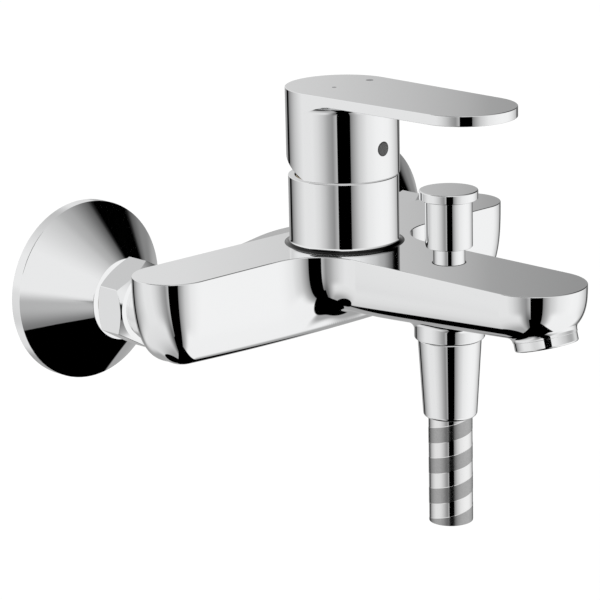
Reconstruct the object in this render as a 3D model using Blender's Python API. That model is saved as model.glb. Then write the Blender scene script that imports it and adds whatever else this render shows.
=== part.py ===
"""Wall mounted bath faucet: single lever mixer with a pull-up diverter, shower outlet and tilted aerator.

Metres, +Z up. The wall is the plane y = 0 and the room lies towards -Y. The origin is on the wall, midway
between the two inlets and level with them. Hot is at -X and cold at +X, as seen by someone facing the wall.
"""
import math

import bmesh
import bpy
from mathutils import Euler, Vector

MM = 0.001

# ---- shared clearances -------------------------------------------------------------------------
SEAT_GAP = 0.3 * MM                 # between two pieces that seat on each other
THREAD_GAP = 0.3 * MM               # between a male thread and its nut, on the radius
THROUGH = 1.0 * MM                  # how far a cutter runs past the face that it opens

# ---- facets on round pieces --------------------------------------------------------------------
FINE = 36
MEDIUM = 18
COARSE = 14
TINY = 10

# ---- inlets and wall side ----------------------------------------------------------------------
INLET_SPACING = 150.0 * MM
ROSETTE_RADIUS = 35.0 * MM
ROSETTE_RIM = 4.7 * MM              # depth of the straight rim
ROSETTE_DEPTH = 25.8 * MM           # wall to the front lip
ROSETTE_WALL = 1.2 * MM
ROSETTE_RIM_WALL = 1.92 * MM
ROSETTE_NOSE_WALL = 2.64 * MM
ROSETTE_EDGE = 0.6 * MM
ROSETTE_LIP_EDGE = 0.5 * MM
ROSETTE_HUB_LENGTH = 9.0 * MM       # threaded hub behind the lip
UNION_THREAD_RADIUS = 13.2 * MM     # G3/4
ROSETTE_LIP_RADIUS = UNION_THREAD_RADIUS + 2.6 * MM
UNION_THREAD_END = 31.0 * MM        # wall to the free end of the S-union
UNION_BORE_RADIUS = 7.0 * MM
THREAD_CHAMFER = 0.8 * MM
MELD = 2.0 * MM                     # how far a form or a bore runs into the one that it joins
WALL_THREAD_RADIUS = 10.48 * MM     # G1/2
WALL_THREAD_LENGTH = 20.0 * MM      # into the wall fitting
ECCENTRICITY = 8.0 * MM             # wall thread above the inlet axis
ECCENTRIC_BODY_END = 12.0 * MM      # wall to the shoulder of the eccentric body
ECCENTRIC_SHOULDER = 0.8 * MM       # body over its front thread
BACK_BORE_RUN = 1.5 * MM            # back bore past the middle of the body
WASHER_THICKNESS = 2.0 * MM
WASHER_FLOOR = 0.6 * MM             # perforated
WASHER_INSET = 0.5 * MM             # inside the nut's thread
WASHER_HOLE_RADIUS = 1.35 * MM
WASHER_HOLE_RING = 4.4 * MM
NUT_CHAMFER = math.radians(35)
NUT_WALL = 1.8 * MM                 # over the thread, at the middle of a flat
NUT_FLATS = 2 * (UNION_THREAD_RADIUS + NUT_WALL)     # 30 mm across flats
NUT_BACK = 27.2 * MM                # wall to the back of the union nut
NUT_FRONT = 41.0 * MM               # wall to the front of the union nut
NUT_FACE_STEP = 0.6 * MM
NUT_FACE_RADIUS = NUT_FLATS / 2 - NUT_FACE_STEP      # where the end chamfers leave the flat faces
NUT_SHOULDER = 1.2 * MM             # the nut's inner shoulder, which draws the flange in
NIPPLE_RADIUS = UNION_THREAD_RADIUS - NUT_SHOULDER
NIPPLE_FLANGE = 3.0 * MM
NIPPLE_FLANGE_INSET = 0.3 * MM
NIPPLE_LEDGE = 1.4 * MM             # stops the non-return valve
NIPPLE_THREAD_RADIUS = 10.5 * MM
NIPPLE_THREAD_LENGTH = 10.0 * MM
NIPPLE_BORE_RADIUS = 8.2 * MM

# ---- non-return valves in the inlet nipples ----------------------------------------------------
CHECK_RADIUS = NIPPLE_BORE_RADIUS - SEAT_GAP
CHECK_LENGTH = 15.0 * MM
CHECK_WALL = 1.3 * MM
CHECK_SEAT_RADIUS = 4.6 * MM
CHECK_SEAT_THICKNESS = 2.0 * MM
CHECK_POPPET_RADIUS = 5.6 * MM
CHECK_POPPET_THICKNESS = 1.6 * MM
CHECK_STEM_RADIUS = 1.1 * MM
CHECK_SPIDER = 2.0 * MM             # thickness of the three-armed guide
CHECK_HUB_RADIUS = 2.4 * MM
CHECK_ARM_HALF_WIDTH = 0.6 * MM
CHECK_ARM_INSET = 0.2 * MM          # arm below the hub's two faces
CHECK_STEM_RUN = 0.5 * MM           # stem past the guide
CHECK_SPRING_RADIUS = 2.6 * MM
CHECK_WIRE_RADIUS = 0.35 * MM
CHECK_SPRING_TURNS = 4.5

# ---- body: bar, spout and tower ----------------------------------------------------------------
TOP_Z = 16.4 * MM                   # the flat top of bar and spout
BAR_Y = -59.5 * MM
BAR_HALF_WIDTH = 15.7 * MM
BAR_OVERHANG = 20.0 * MM            # inlet axis to the bar's rounded end
BAR_HALF_LENGTH = INLET_SPACING / 2 + BAR_OVERHANG
BAR_DEPTH = 36.0 * MM               # at its middle
BAR_END_DEPTH = 33.3 * MM
BAR_STEPS = 6                       # stations along each straight side
BAR_SIDE_FULLNESS = 3.5             # exponent of the section: 2 is an ellipse, more is squarer
BAR_END_FULLNESS = 2.2
SPOUT_HALF_WIDTH = 19.7 * MM
SPOUT_REACH = 188.5 * MM            # wall to the tip
SPOUT_ROOT_DEPTH = 25.4 * MM
SPOUT_TIP_DEPTH = 18.8 * MM
SPOUT_FULLNESS = 3.0
ROOT_FILLET = 21.0 * MM             # plan fillet between bar and spout
SPOUT_MELD = 5.5 * MM               # spout form's back edge past the bar's middle
ROOT_TUCK = 0.15 * MM               # how far the fillet's end runs under the bar's skin
FOOT = 0.985                        # part of a section's depth where its flat foot is
TOWER_Y = -70.5 * MM
TOWER_TOP_Z = 43.4 * MM
TOWER_FILLET = 2.0 * MM
TOWER_EDGE = 0.4 * MM
TOWER_ROOT = 3.0 * MM               # tower form below the flat top
CAVITY_FLOOR_Z = 14.0 * MM
BOSS_WALL = 2.7 * MM                # round the nipple's thread
BOSS_RADIUS = NIPPLE_THREAD_RADIUS + BOSS_WALL       # machined seat round each inlet
BOSS_RISE = 0.5 * MM
BOSS_ROOT = 6.0 * MM
INLET_DRILL = 2.0 * MM              # nipple seat past its thread
INLET_CROSSING = 3.3 * MM           # inlet bore past the bar's middle
CHANNEL_RADIUS = 5.5 * MM
CHANNEL_OFFSET = 0.5 * MM           # in front of the bar's middle
CHANNEL_PARTITION = 5.0 * MM        # half of the wall between the hot and cold channels

# ---- cartridge ---------------------------------------------------------------------------------
PORT_RADIUS = 3.4 * MM
INLET_PORT_X = 7.5 * MM
INLET_PORT_Y = 6.5 * MM             # behind the cartridge axis
OUTLET_PORT_Y = 9.5 * MM            # in front of the cartridge axis
GASKET_THICKNESS = 1.0 * MM
GASKET_INSET = 1.5 * MM
CARTRIDGE_RADIUS = 17.3 * MM
RING_NUT_RIM = 1.6 * MM             # ring nut over the cartridge
CAVITY_RADIUS = CARTRIDGE_RADIUS + RING_NUT_RIM
TOWER_WALL = 2.6 * MM
TOWER_RADIUS = CAVITY_RADIUS + TOWER_WALL
HOUSING_WALL = 3.1 * MM
CHAMBER_RADIUS = CARTRIDGE_RADIUS - HOUSING_WALL     # inside of the cartridge housing
CARTRIDGE_BASE = 4.0 * MM
DISC_THICKNESS = 2.5 * MM
FIXED_DISC_RADIUS = CHAMBER_RADIUS - 2 * SEAT_GAP
DISC_ROOM = 3.0 * MM                # round the moving disc, for its slide
MOVING_DISC_RADIUS = CHAMBER_RADIUS - DISC_ROOM
POCKET_RADIUS = 7.0 * MM            # mixing pocket in the moving disc
POCKET_DEPTH = 1.3 * MM
POCKET_OFFSET = 1.5 * MM
CARRIER_HEIGHT = 5.5 * MM
ROTOR_FLANGE = 4.6 * MM
ROTOR_SHOULDER = 4.1 * MM
ROTOR_NECK_RADIUS = CHAMBER_RADIUS - ROTOR_SHOULDER
ROTOR_TOP_Z = 45.0 * MM
SHANK_SLOT_CLEARANCE = 0.5 * MM
SHANK_SLOT_FRONT = 8.0 * MM         # room for the shank as the lever lifts
SHANK_SLOT_BACK = 4.0 * MM
BLOCK_SLOT_FRONT = 7.2 * MM
BLOCK_SLOT_BACK = 6.5 * MM
BLOCK_SLOT_FLOOR = 0.2 * MM         # above the rotor's flange
SHOULDER = 2.0 * MM                 # thickness of the housing's shoulder
HOUSING_NECK_WALL = 2.1 * MM
HOUSING_NECK_RADIUS = ROTOR_NECK_RADIUS + SEAT_GAP + HOUSING_NECK_WALL
HOUSING_TOP_Z = 44.2 * MM
RING_NUT_HEIGHT = 4.4 * MM
RING_SLOT_HALF_WIDTH = 1.5 * MM
RING_SLOT_DEPTH = 1.6 * MM
LIMIT_RING_WALL = 2.7 * MM
LIMIT_RING_RADIUS = HOUSING_NECK_RADIUS + SEAT_GAP + LIMIT_RING_WALL
LIMIT_RING_HEIGHT = 2.2 * MM
TRIM_RING_GAP = 0.7 * MM            # inside the tower's mouth
TRIM_RING_RADIUS = CAVITY_RADIUS - TRIM_RING_GAP
TRIM_RING_HEIGHT = 1.8 * MM
TRIM_RING_EDGE = 0.6 * MM

# ---- lever, its spindle and their pivot --------------------------------------------------------
PIVOT_Z = 41.0 * MM
LIFT_ANGLE = math.radians(25.0)
PIN_RADIUS = 1.5 * MM
PIN_INSET = 0.9 * MM                # each end inside the rotor's neck
SPINDLE_SIDE = 8.0 * MM
SPINDLE_TOP_Z = 64.0 * MM
SPINDLE_SHANK_RADIUS = 2.4 * MM
SPINDLE_BALL_RADIUS = 3.2 * MM
SPINDLE_BALL_Z = 28.8 * MM
SPINDLE_BLOCK_Z = 37.8 * MM
HANDLE_OVERHANG = 0.5 * MM          # skirt outside the tower
HANDLE_RADIUS = TOWER_RADIUS + HANDLE_OVERHANG
HANDLE_WALL = 3.0 * MM
HANDLE_TOP_Z = 78.0 * MM
HANDLE_GAP = 0.5 * MM               # skirt above the tower
HANDLE_ROOF = 8.0 * MM
LEVER_REACH = 154.4 * MM            # wall to the lever's tip
LEVER_TIP_RADIUS = 20.0 * MM
LEVER_THICKNESS = 4.0 * MM
LEVER_FILLET = 4.0 * MM
UNDER_LEVER_START = 4.0 * MM        # tower axis to the fillet's back end
SKIRT_STEP = 0.5 * MM               # skirt and fillet forms where they run into each other
SKIRT_MELD = 1.0 * MM
RELIEF_MARGIN = 4.0 * MM
SOCKET_RADIUS = 9.0 * MM
SOCKET_BOTTOM_Z = 51.5 * MM
SCREW_Z = 55.9 * MM
SCREW_RADIUS = 2.5 * MM
SCREW_LENGTH = 8.0 * MM
KEY_HALF_FLATS = 1.25 * MM          # 2.5 mm hexagon key
KEY_DEPTH = 3.0 * MM
PLUG_RADIUS = 2.85 * MM
PLUG_LENGTH = 2.6 * MM
PLUG_RECESS = 0.1 * MM

# ---- diverter and shower outlet ----------------------------------------------------------------
DIVERTER_X = 2.0 * MM
DIVERTER_Y = -124.5 * MM
DIVERTER_TRAVEL = 9.0 * MM
BUSH_RADIUS = 6.1 * MM
BUSH_TOP_Z = 34.0 * MM
BUSH_BOTTOM_Z = 13.0 * MM
ROD_SEAL_Z = 19.0 * MM
ROD_SEAL_THICKNESS = 1.4 * MM
ROD_RADIUS = 2.5 * MM
ROD_GROOVE_DEPTH = 1.6 * MM
ROD_STEM_RADIUS = 1.6 * MM          # through the valve disc and its seal
RIVET_RADIUS = 2.8 * MM
RIVET_HEIGHT = 0.8 * MM
KNOB_WALL = 2.6 * MM
KNOB_RADIUS = BUSH_RADIUS + SEAT_GAP + KNOB_WALL
KNOB_CAP_LIP = 2.15 * MM
KNOB_CAP_RADIUS = KNOB_RADIUS + KNOB_CAP_LIP
KNOB_CAP_THICKNESS = 3.6 * MM
KNOB_BOTTOM_Z = 22.7 * MM
KNOB_TOP_Z = 44.6 * MM
KNOB_ROOF = 8.0 * MM
KNOB_FACE = 2.0 * MM                # over the rod's end
LOWER_SEAT_Z = -7.0 * MM
VALVE_CHAMBER_RADIUS = 7.4 * MM
UPPER_SEAT_RADIUS = 5.6 * MM
VALVE_DISC_RADIUS = 6.9 * MM
VALVE_DISC_THICKNESS = 1.4 * MM
VALVE_SEAL_THICKNESS = 1.6 * MM
VALVE_SEAL_INSET = 0.3 * MM
DIVERTER_SPRING_RADIUS = 4.2 * MM
DIVERTER_WIRE_RADIUS = 0.4 * MM
DIVERTER_SPRING_TURNS = 6.0
REAR_CHANNEL_Z = 0.6 * MM
REAR_CHANNEL_RADIUS = 4.0 * MM
FRONT_CHANNEL_Z = 9.4 * MM
FRONT_CHANNEL_RADIUS = 3.2 * MM
FRONT_CHANNEL_STOP = 4.0 * MM       # short of the aerator's axis
COLLAR_BOTTOM_Z = -12.8 * MM
COLLAR_ROOT_Z = 4.0 * MM
OUTLET_THREAD_RADIUS = 10.48 * MM   # G1/2
OUTLET_THREAD_LENGTH = 9.0 * MM
OUTLET_BORE_RADIUS = 5.5 * MM
OUTLET_NECK_STEP = 1.0 * MM         # nipple above its thread
HOSE_RADIUS = 8.5 * MM
HOSE_NUT_WALL = 1.72 * MM           # over the G1/2 thread
HOSE_NUT_TOP_RADIUS = OUTLET_THREAD_RADIUS + HOSE_NUT_WALL
HOSE_NUT_LIP = 1.8 * MM             # over the hose
HOSE_NUT_BOTTOM_RADIUS = HOSE_RADIUS + HOSE_NUT_LIP
COLLAR_STEP = 1.3 * MM              # collar over the nut
COLLAR_RADIUS = HOSE_NUT_TOP_RADIUS + COLLAR_STEP
HOSE_NUT_BOTTOM_Z = -43.8 * MM
HOSE_NUT_CORNER = 1.4 * MM
NUT_LEDGE = 2.0 * MM                # thickness of the nut's inner ledge
TAIL_FLANGE_INSET = 0.8 * MM
TAIL_WALL = 1.2 * MM
TAIL_STOP = 3.0 * MM                # tail ends above the nut's bottom
HOSE_WASHER_BORE = 4.6 * MM
HOSE_JACKET_WALL = 1.6 * MM
HOSE_LINER_WALL = 1.8 * MM
HOSE_END_Z = -86.0 * MM
TAIL_FLANGE = 1.6 * MM

# ---- aerator -----------------------------------------------------------------------------------
AERATOR_TILT = math.radians(15.0)   # outwards from the wall
AERATOR_RADIUS = 11.9 * MM
AERATOR_MARGIN = 1.4 * MM           # spout's tip to the ring
AERATOR_DROP = 3.9 * MM             # spout's underside to the open face
AERATOR_Y = -SPOUT_REACH + AERATOR_RADIUS + AERATOR_MARGIN           # middle of its open face
AERATOR_Z = TOP_Z - SPOUT_TIP_DEPTH - AERATOR_DROP
AERATOR_RING_LENGTH = 8.6 * MM
AERATOR_RING_STEP = 1.9 * MM        # ring over its thread
AERATOR_THREAD_RADIUS = AERATOR_RADIUS - AERATOR_RING_STEP
AERATOR_LENGTH = 13.0 * MM
AERATOR_WALL = 1.1 * MM
AERATOR_BORE_RADIUS = AERATOR_THREAD_RADIUS - AERATOR_WALL
AERATOR_LIP = 1.0 * MM
AERATOR_GASKET = 1.5 * MM
AERATOR_HOLE_RADIUS = 0.75 * MM
AERATOR_HOLE_RINGS = ((2.3 * MM, 4), (5.2 * MM, 10))
AERATOR_EDGE = 0.5 * MM
AERATOR_LIP_REACH = 0.9 * MM
AERATOR_MOUTH = 8.0 * MM            # seat cut below the open face
INSERT_WALL = 1.2 * MM
INSERT_FLOOR = 2.0 * MM
AERATOR_GASKET_INSET = 0.2 * MM
AERATOR_GASKET_REACH = 1.8 * MM


# ---- places worked out from the sizes ----------------------------------------------------------
LEFT, RIGHT = -1, 1
SIDE_NAMES = {LEFT: "left", RIGHT: "right"}
TO_ROOM = Euler((math.pi / 2, 0.0, 0.0))            # local +Z points away from the wall
ALONG_X = Euler((math.pi / 2, 0.0, math.pi / 2))    # local X, Y, Z become world Y, Z, X
UPRIGHT = Euler((0.0, 0.0, 0.0))
UP_AERATOR = Euler((-AERATOR_TILT, 0.0, 0.0))       # local +Z runs up the aerator's own axis
WASHER_START = UNION_THREAD_END + SEAT_GAP
NIPPLE_START = WASHER_START + WASHER_THICKNESS + SEAT_GAP
NUT_SHOULDER_START = NIPPLE_START + NIPPLE_FLANGE + SEAT_GAP
BOSS_FACE = -BAR_Y - BAR_HALF_WIDTH - BOSS_RISE     # wall to the machined inlet seat
BASE_Z = CAVITY_FLOOR_Z + GASKET_THICKNESS + 2 * SEAT_GAP
FIXED_DISC_Z = BASE_Z + CARTRIDGE_BASE + SEAT_GAP
MOVING_DISC_Z = FIXED_DISC_Z + DISC_THICKNESS + SEAT_GAP
CARRIER_Z = MOVING_DISC_Z + DISC_THICKNESS + SEAT_GAP
ROTOR_Z = CARRIER_Z + CARRIER_HEIGHT + SEAT_GAP
SHOULDER_Z = ROTOR_Z + ROTOR_FLANGE + SEAT_GAP + SHOULDER
RING_NUT_Z = SHOULDER_Z + SEAT_GAP
LIMIT_RING_Z = RING_NUT_Z + RING_NUT_HEIGHT + SEAT_GAP
SKIRT_Z = TOWER_TOP_Z + HANDLE_GAP
DISC_TRAVEL = (PIVOT_Z - SPINDLE_BALL_Z) * math.sin(LIFT_ANGLE)
VALVE_SEAL_Z = LOWER_SEAT_Z + SEAT_GAP
VALVE_DISC_Z = VALVE_SEAL_Z + VALVE_SEAL_THICKNESS + SEAT_GAP
UPPER_SEAT_Z = VALVE_DISC_Z + VALVE_DISC_THICKNESS + DIVERTER_TRAVEL + SEAT_GAP
NIPPLE_END_Z = COLLAR_BOTTOM_Z - SEAT_GAP - OUTLET_THREAD_LENGTH
HOSE_WASHER_Z = NIPPLE_END_Z - SEAT_GAP - WASHER_THICKNESS
TAIL_Z = HOSE_WASHER_Z - SEAT_GAP - TAIL_FLANGE
NUT_LEDGE_Z = TAIL_Z - SEAT_GAP
HOSE_TOP_Z = NUT_LEDGE_Z - NUT_LEDGE - SEAT_GAP


# ---- helpers -----------------------------------------------------------------------------------
def finish_mesh(mesh, sharp=35.0):
    """Points every face outwards and shades the round ones smooth."""
    work = bmesh.new()
    work.from_mesh(mesh)
    bmesh.ops.recalc_face_normals(work, faces=work.faces)
    work.to_mesh(mesh)
    work.free()
    mesh.shade_smooth()
    mesh.set_sharp_from_angle(angle=math.radians(sharp))


def world_place(item):
    """Where an unturned empty stands in the world; no empty is the world's own origin."""
    if item is None:
        return Vector((0.0, 0.0, 0.0))
    return item.location + world_place(item.parent)


def add_object(name, points, faces, material=None, place=(0, 0, 0), turn=UPRIGHT, parent=None):
    """A mesh object whose place and turn are given in world space, also under a parent."""
    mesh = bpy.data.meshes.new(name)
    mesh.from_pydata(points, [], faces)
    finish_mesh(mesh)
    item = bpy.data.objects.new(name, mesh)
    bpy.context.collection.objects.link(item)
    item.parent = parent
    item.rotation_euler = turn
    item.location = Vector(place) - world_place(parent)
    if material is not None:
        mesh.materials.append(material)
    return item


def turned(name, profile, segments, material=None, place=(0, 0, 0), turn=UPRIGHT, parent=None):
    """A solid of revolution about local Z from a closed outline of (radius, height) points."""
    points, rings = [], []
    for radius, height in profile:
        if radius == 0.0:
            rings.append([len(points)] * segments)
            points.append((0.0, 0.0, height))
            continue
        rings.append(range(len(points), len(points) + segments))
        for step in range(segments):
            angle = 2 * math.pi * step / segments
            points.append((radius * math.cos(angle), radius * math.sin(angle), height))
    faces = []
    for index, ring in enumerate(rings):
        following = rings[(index + 1) % len(rings)]
        for step in range(segments):
            corner = (ring[step], ring[(step + 1) % segments],
                      following[(step + 1) % segments], following[step])
            distinct = list(dict.fromkeys(corner))
            if len(distinct) > 2:
                faces.append(distinct)
    return add_object(name, points, faces, material, place, turn, parent)


def prism(name, outline, low, high, material=None, place=(0, 0, 0), turn=UPRIGHT, parent=None):
    """A straight extrusion along local Z of a closed outline of (x, y) points."""
    count = len(outline)
    points = [(x, y, low) for x, y in outline] + [(x, y, high) for x, y in outline]
    faces = [list(range(count)), list(range(count, 2 * count))]
    for step in range(count):
        after = (step + 1) % count
        faces.append([step, after, count + after, count + step])
    return add_object(name, points, faces, material, place, turn, parent)


def arc(centre, radius, start, end, steps):
    """Points on an arc, angles in degrees."""
    angles = [math.radians(start + (end - start) * step / steps) for step in range(steps + 1)]
    return [(centre[0] + radius * math.cos(a), centre[1] + radius * math.sin(a)) for a in angles]


def tube(outer, inner, low, high):
    """The outline of a plain ring for turned()."""
    return [(outer, low), (outer, high), (inner, high), (inner, low)]


def rod(radius, low, high):
    """The outline of a plain cylinder for turned()."""
    return [(0.0, low), (radius, low), (radius, high), (0.0, high)]


def box_outline(half_x, low_y, high_y):
    return [(-half_x, low_y), (half_x, low_y), (half_x, high_y), (-half_x, high_y)]


def combine(item, tools, operation):
    """One exact Boolean with all its tools at once; they stay in the file as hidden guides."""
    group = bpy.data.collections.new(f"{item.name}_{operation.lower()}")
    for tool in tools:
        tool.hide_render = True
        tool.display_type = "WIRE"
        group.objects.link(tool)
    step = item.modifiers.new(group.name, "BOOLEAN")
    step.operation = operation
    step.solver = "EXACT"
    step.operand_type = "COLLECTION"
    step.collection = group


def cut(item, *tools):
    combine(item, tools, "DIFFERENCE")


def join(item, *tools):
    combine(item, tools, "UNION")


def keep_inside(item, tool):
    combine(item, [tool], "INTERSECT")


def axis_empty(name, place, parent=None):
    """An empty on a joint's axis; what moves with the joint hangs from it."""
    item = bpy.data.objects.new(name, None)
    item.empty_display_size = 0.01
    item.parent = parent
    item.location = Vector(place) - world_place(parent)
    bpy.context.collection.objects.link(item)
    return item


def surface(name, colour, metallic, roughness):
    material = bpy.data.materials.new(name)
    material.use_nodes = True
    shader = material.node_tree.nodes["Principled BSDF"]
    shader.inputs["Base Color"].default_value = (*colour, 1.0)
    shader.inputs["Metallic"].default_value = metallic
    shader.inputs["Roughness"].default_value = roughness
    return material


# ---- wall side ---------------------------------------------------------------------------------
def inlet_place(side):
    return (side * INLET_SPACING / 2, 0.0, 0.0)


def wall_rosette(side, material):
    """A thin cone with a straight rim, closed at the front by a threaded hub."""
    bore = UNION_THREAD_RADIUS + THREAD_GAP
    profile = [
        (ROSETTE_RADIUS, 0.0),
        (ROSETTE_RADIUS, ROSETTE_RIM - ROSETTE_EDGE),
        (ROSETTE_RADIUS - ROSETTE_EDGE, ROSETTE_RIM),
        (ROSETTE_LIP_RADIUS, ROSETTE_DEPTH - ROSETTE_LIP_EDGE),
        (ROSETTE_LIP_RADIUS - ROSETTE_LIP_EDGE, ROSETTE_DEPTH),
        (bore, ROSETTE_DEPTH),
        (bore, ROSETTE_DEPTH - ROSETTE_HUB_LENGTH),
        (bore + ROSETTE_WALL, ROSETTE_DEPTH - ROSETTE_HUB_LENGTH),
        (bore + ROSETTE_WALL, ROSETTE_DEPTH - ROSETTE_NOSE_WALL),
        (ROSETTE_RADIUS - ROSETTE_RIM_WALL, ROSETTE_RIM - ROSETTE_WALL),
        (ROSETTE_RADIUS - ROSETTE_RIM_WALL, 0.0),
    ]
    turned(f"wall_rosette_{SIDE_NAMES[side]}", profile, FINE, material, inlet_place(side), TO_ROOM)


def s_union(side, material):
    """An eccentric: the wall thread lies above the front thread, and a bore joins them."""
    place = inlet_place(side)
    name = f"s_union_{SIDE_NAMES[side]}"
    body_radius = UNION_THREAD_RADIUS + ECCENTRIC_SHOULDER
    front = turned(name, [
        (0.0, SEAT_GAP),
        (body_radius, SEAT_GAP),
        (body_radius, ECCENTRIC_BODY_END),
        (UNION_THREAD_RADIUS, ECCENTRIC_BODY_END),
        (UNION_THREAD_RADIUS, UNION_THREAD_END - THREAD_CHAMFER),
        (UNION_THREAD_RADIUS - THREAD_CHAMFER, UNION_THREAD_END),
        (0.0, UNION_THREAD_END),
    ], MEDIUM, material, place, TO_ROOM)
    behind = (place[0], 0.0, ECCENTRICITY)
    stub = turned(name + "_stub", [
        (0.0, -WALL_THREAD_LENGTH),
        (WALL_THREAD_RADIUS - THREAD_CHAMFER, -WALL_THREAD_LENGTH),
        (WALL_THREAD_RADIUS, -WALL_THREAD_LENGTH + THREAD_CHAMFER),
        (WALL_THREAD_RADIUS, ECCENTRIC_BODY_END - MELD),
        (0.0, ECCENTRIC_BODY_END - MELD),
    ], MEDIUM, None, behind, TO_ROOM)
    join(front, stub)
    meet = ECCENTRIC_BODY_END / 2
    front_bore = turned(name + "_front_bore",
                        rod(UNION_BORE_RADIUS, meet - MELD, UNION_THREAD_END + THROUGH),
                        COARSE, None, place, TO_ROOM)
    back_bore = turned(name + "_back_bore",
                       rod(UNION_BORE_RADIUS, -WALL_THREAD_LENGTH - THROUGH, meet + BACK_BORE_RUN),
                       COARSE, None, behind, TO_ROOM)
    cut(front, front_bore, back_bore)


def union_nut(side, material):
    """A hexagon with chamfered ends, threaded inside, with a shoulder that draws the nipple in."""
    place = inlet_place(side)
    name = f"union_nut_{SIDE_NAMES[side]}"
    corner = NUT_FLATS / 2 / math.cos(math.pi / 6)
    hexagon = [(corner * math.sin(k * math.pi / 3), corner * math.cos(k * math.pi / 3)) for k in range(6)]
    nut = prism(name, hexagon, NUT_BACK, NUT_FRONT, material, place, TO_ROOM)
    slope = math.tan(NUT_CHAMFER)
    inward = NUT_FACE_RADIUS - THROUGH / slope
    run_out = (corner + THROUGH - NUT_FACE_RADIUS) * slope
    chamfer = turned(name + "_chamfer", [
        (0.0, NUT_BACK - THROUGH),
        (inward, NUT_BACK - THROUGH),
        (corner + THROUGH, NUT_BACK + run_out),
        (corner + THROUGH, NUT_FRONT - run_out),
        (inward, NUT_FRONT + THROUGH),
        (0.0, NUT_FRONT + THROUGH),
    ], FINE, None, place, TO_ROOM)
    keep_inside(nut, chamfer)
    thread = UNION_THREAD_RADIUS + THREAD_GAP
    hole = turned(name + "_bore", [
        (0.0, NUT_BACK - THROUGH),
        (thread, NUT_BACK - THROUGH),
        (thread, NUT_SHOULDER_START),
        (NIPPLE_RADIUS + THREAD_GAP, NUT_SHOULDER_START),
        (NIPPLE_RADIUS + THREAD_GAP, NUT_FRONT + THROUGH),
        (0.0, NUT_FRONT + THROUGH),
    ], MEDIUM, None, place, TO_ROOM)
    cut(nut, hole)


def strainer_washer(side, material):
    """The sealing ring with a perforated floor that keeps grit out of the cartridge."""
    place = inlet_place(side)
    name = f"strainer_washer_{SIDE_NAMES[side]}"
    rim = UNION_THREAD_RADIUS - WASHER_INSET
    washer = turned(name, [
        (0.0, WASHER_START),
        (rim, WASHER_START),
        (rim, WASHER_START + WASHER_THICKNESS),
        (UNION_BORE_RADIUS, WASHER_START + WASHER_THICKNESS),
        (UNION_BORE_RADIUS, WASHER_START + WASHER_FLOOR),
        (0.0, WASHER_START + WASHER_FLOOR),
    ], MEDIUM, material, place, TO_ROOM)
    holes = []
    for index in range(7):
        out = 0.0 if index == 0 else WASHER_HOLE_RING
        angle = index * math.pi / 3
        hole_place = (place[0] + out * math.cos(angle), 0.0, out * math.sin(angle))
        holes.append(turned(f"{name}_hole_{index}",
                            rod(WASHER_HOLE_RADIUS, WASHER_START - THROUGH, WASHER_START + 3 * WASHER_FLOOR),
                            8, None, hole_place, TO_ROOM))
    cut(washer, *holes)


def inlet_nipple(side, material):
    """A collared tube: flange inside the nut, smooth neck through it, thread into the body."""
    flange_radius = UNION_THREAD_RADIUS - NIPPLE_FLANGE_INSET
    thread_start = BOSS_FACE - SEAT_GAP
    profile = [
        (flange_radius, NIPPLE_START),
        (flange_radius, NIPPLE_START + NIPPLE_FLANGE),
        (NIPPLE_RADIUS, NIPPLE_START + NIPPLE_FLANGE),
        (NIPPLE_RADIUS, thread_start),
        (NIPPLE_THREAD_RADIUS, thread_start),
        (NIPPLE_THREAD_RADIUS, thread_start + NIPPLE_THREAD_LENGTH),
        (NIPPLE_BORE_RADIUS - NIPPLE_LEDGE, thread_start + NIPPLE_THREAD_LENGTH),
        (NIPPLE_BORE_RADIUS - NIPPLE_LEDGE, NIPPLE_START + SEAT_GAP + CHECK_LENGTH + SEAT_GAP),
        (NIPPLE_BORE_RADIUS, NIPPLE_START + SEAT_GAP + CHECK_LENGTH + SEAT_GAP),
        (NIPPLE_BORE_RADIUS, NIPPLE_START),
    ]
    turned(f"inlet_nipple_{SIDE_NAMES[side]}", profile, MEDIUM, material, inlet_place(side), TO_ROOM)


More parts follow.
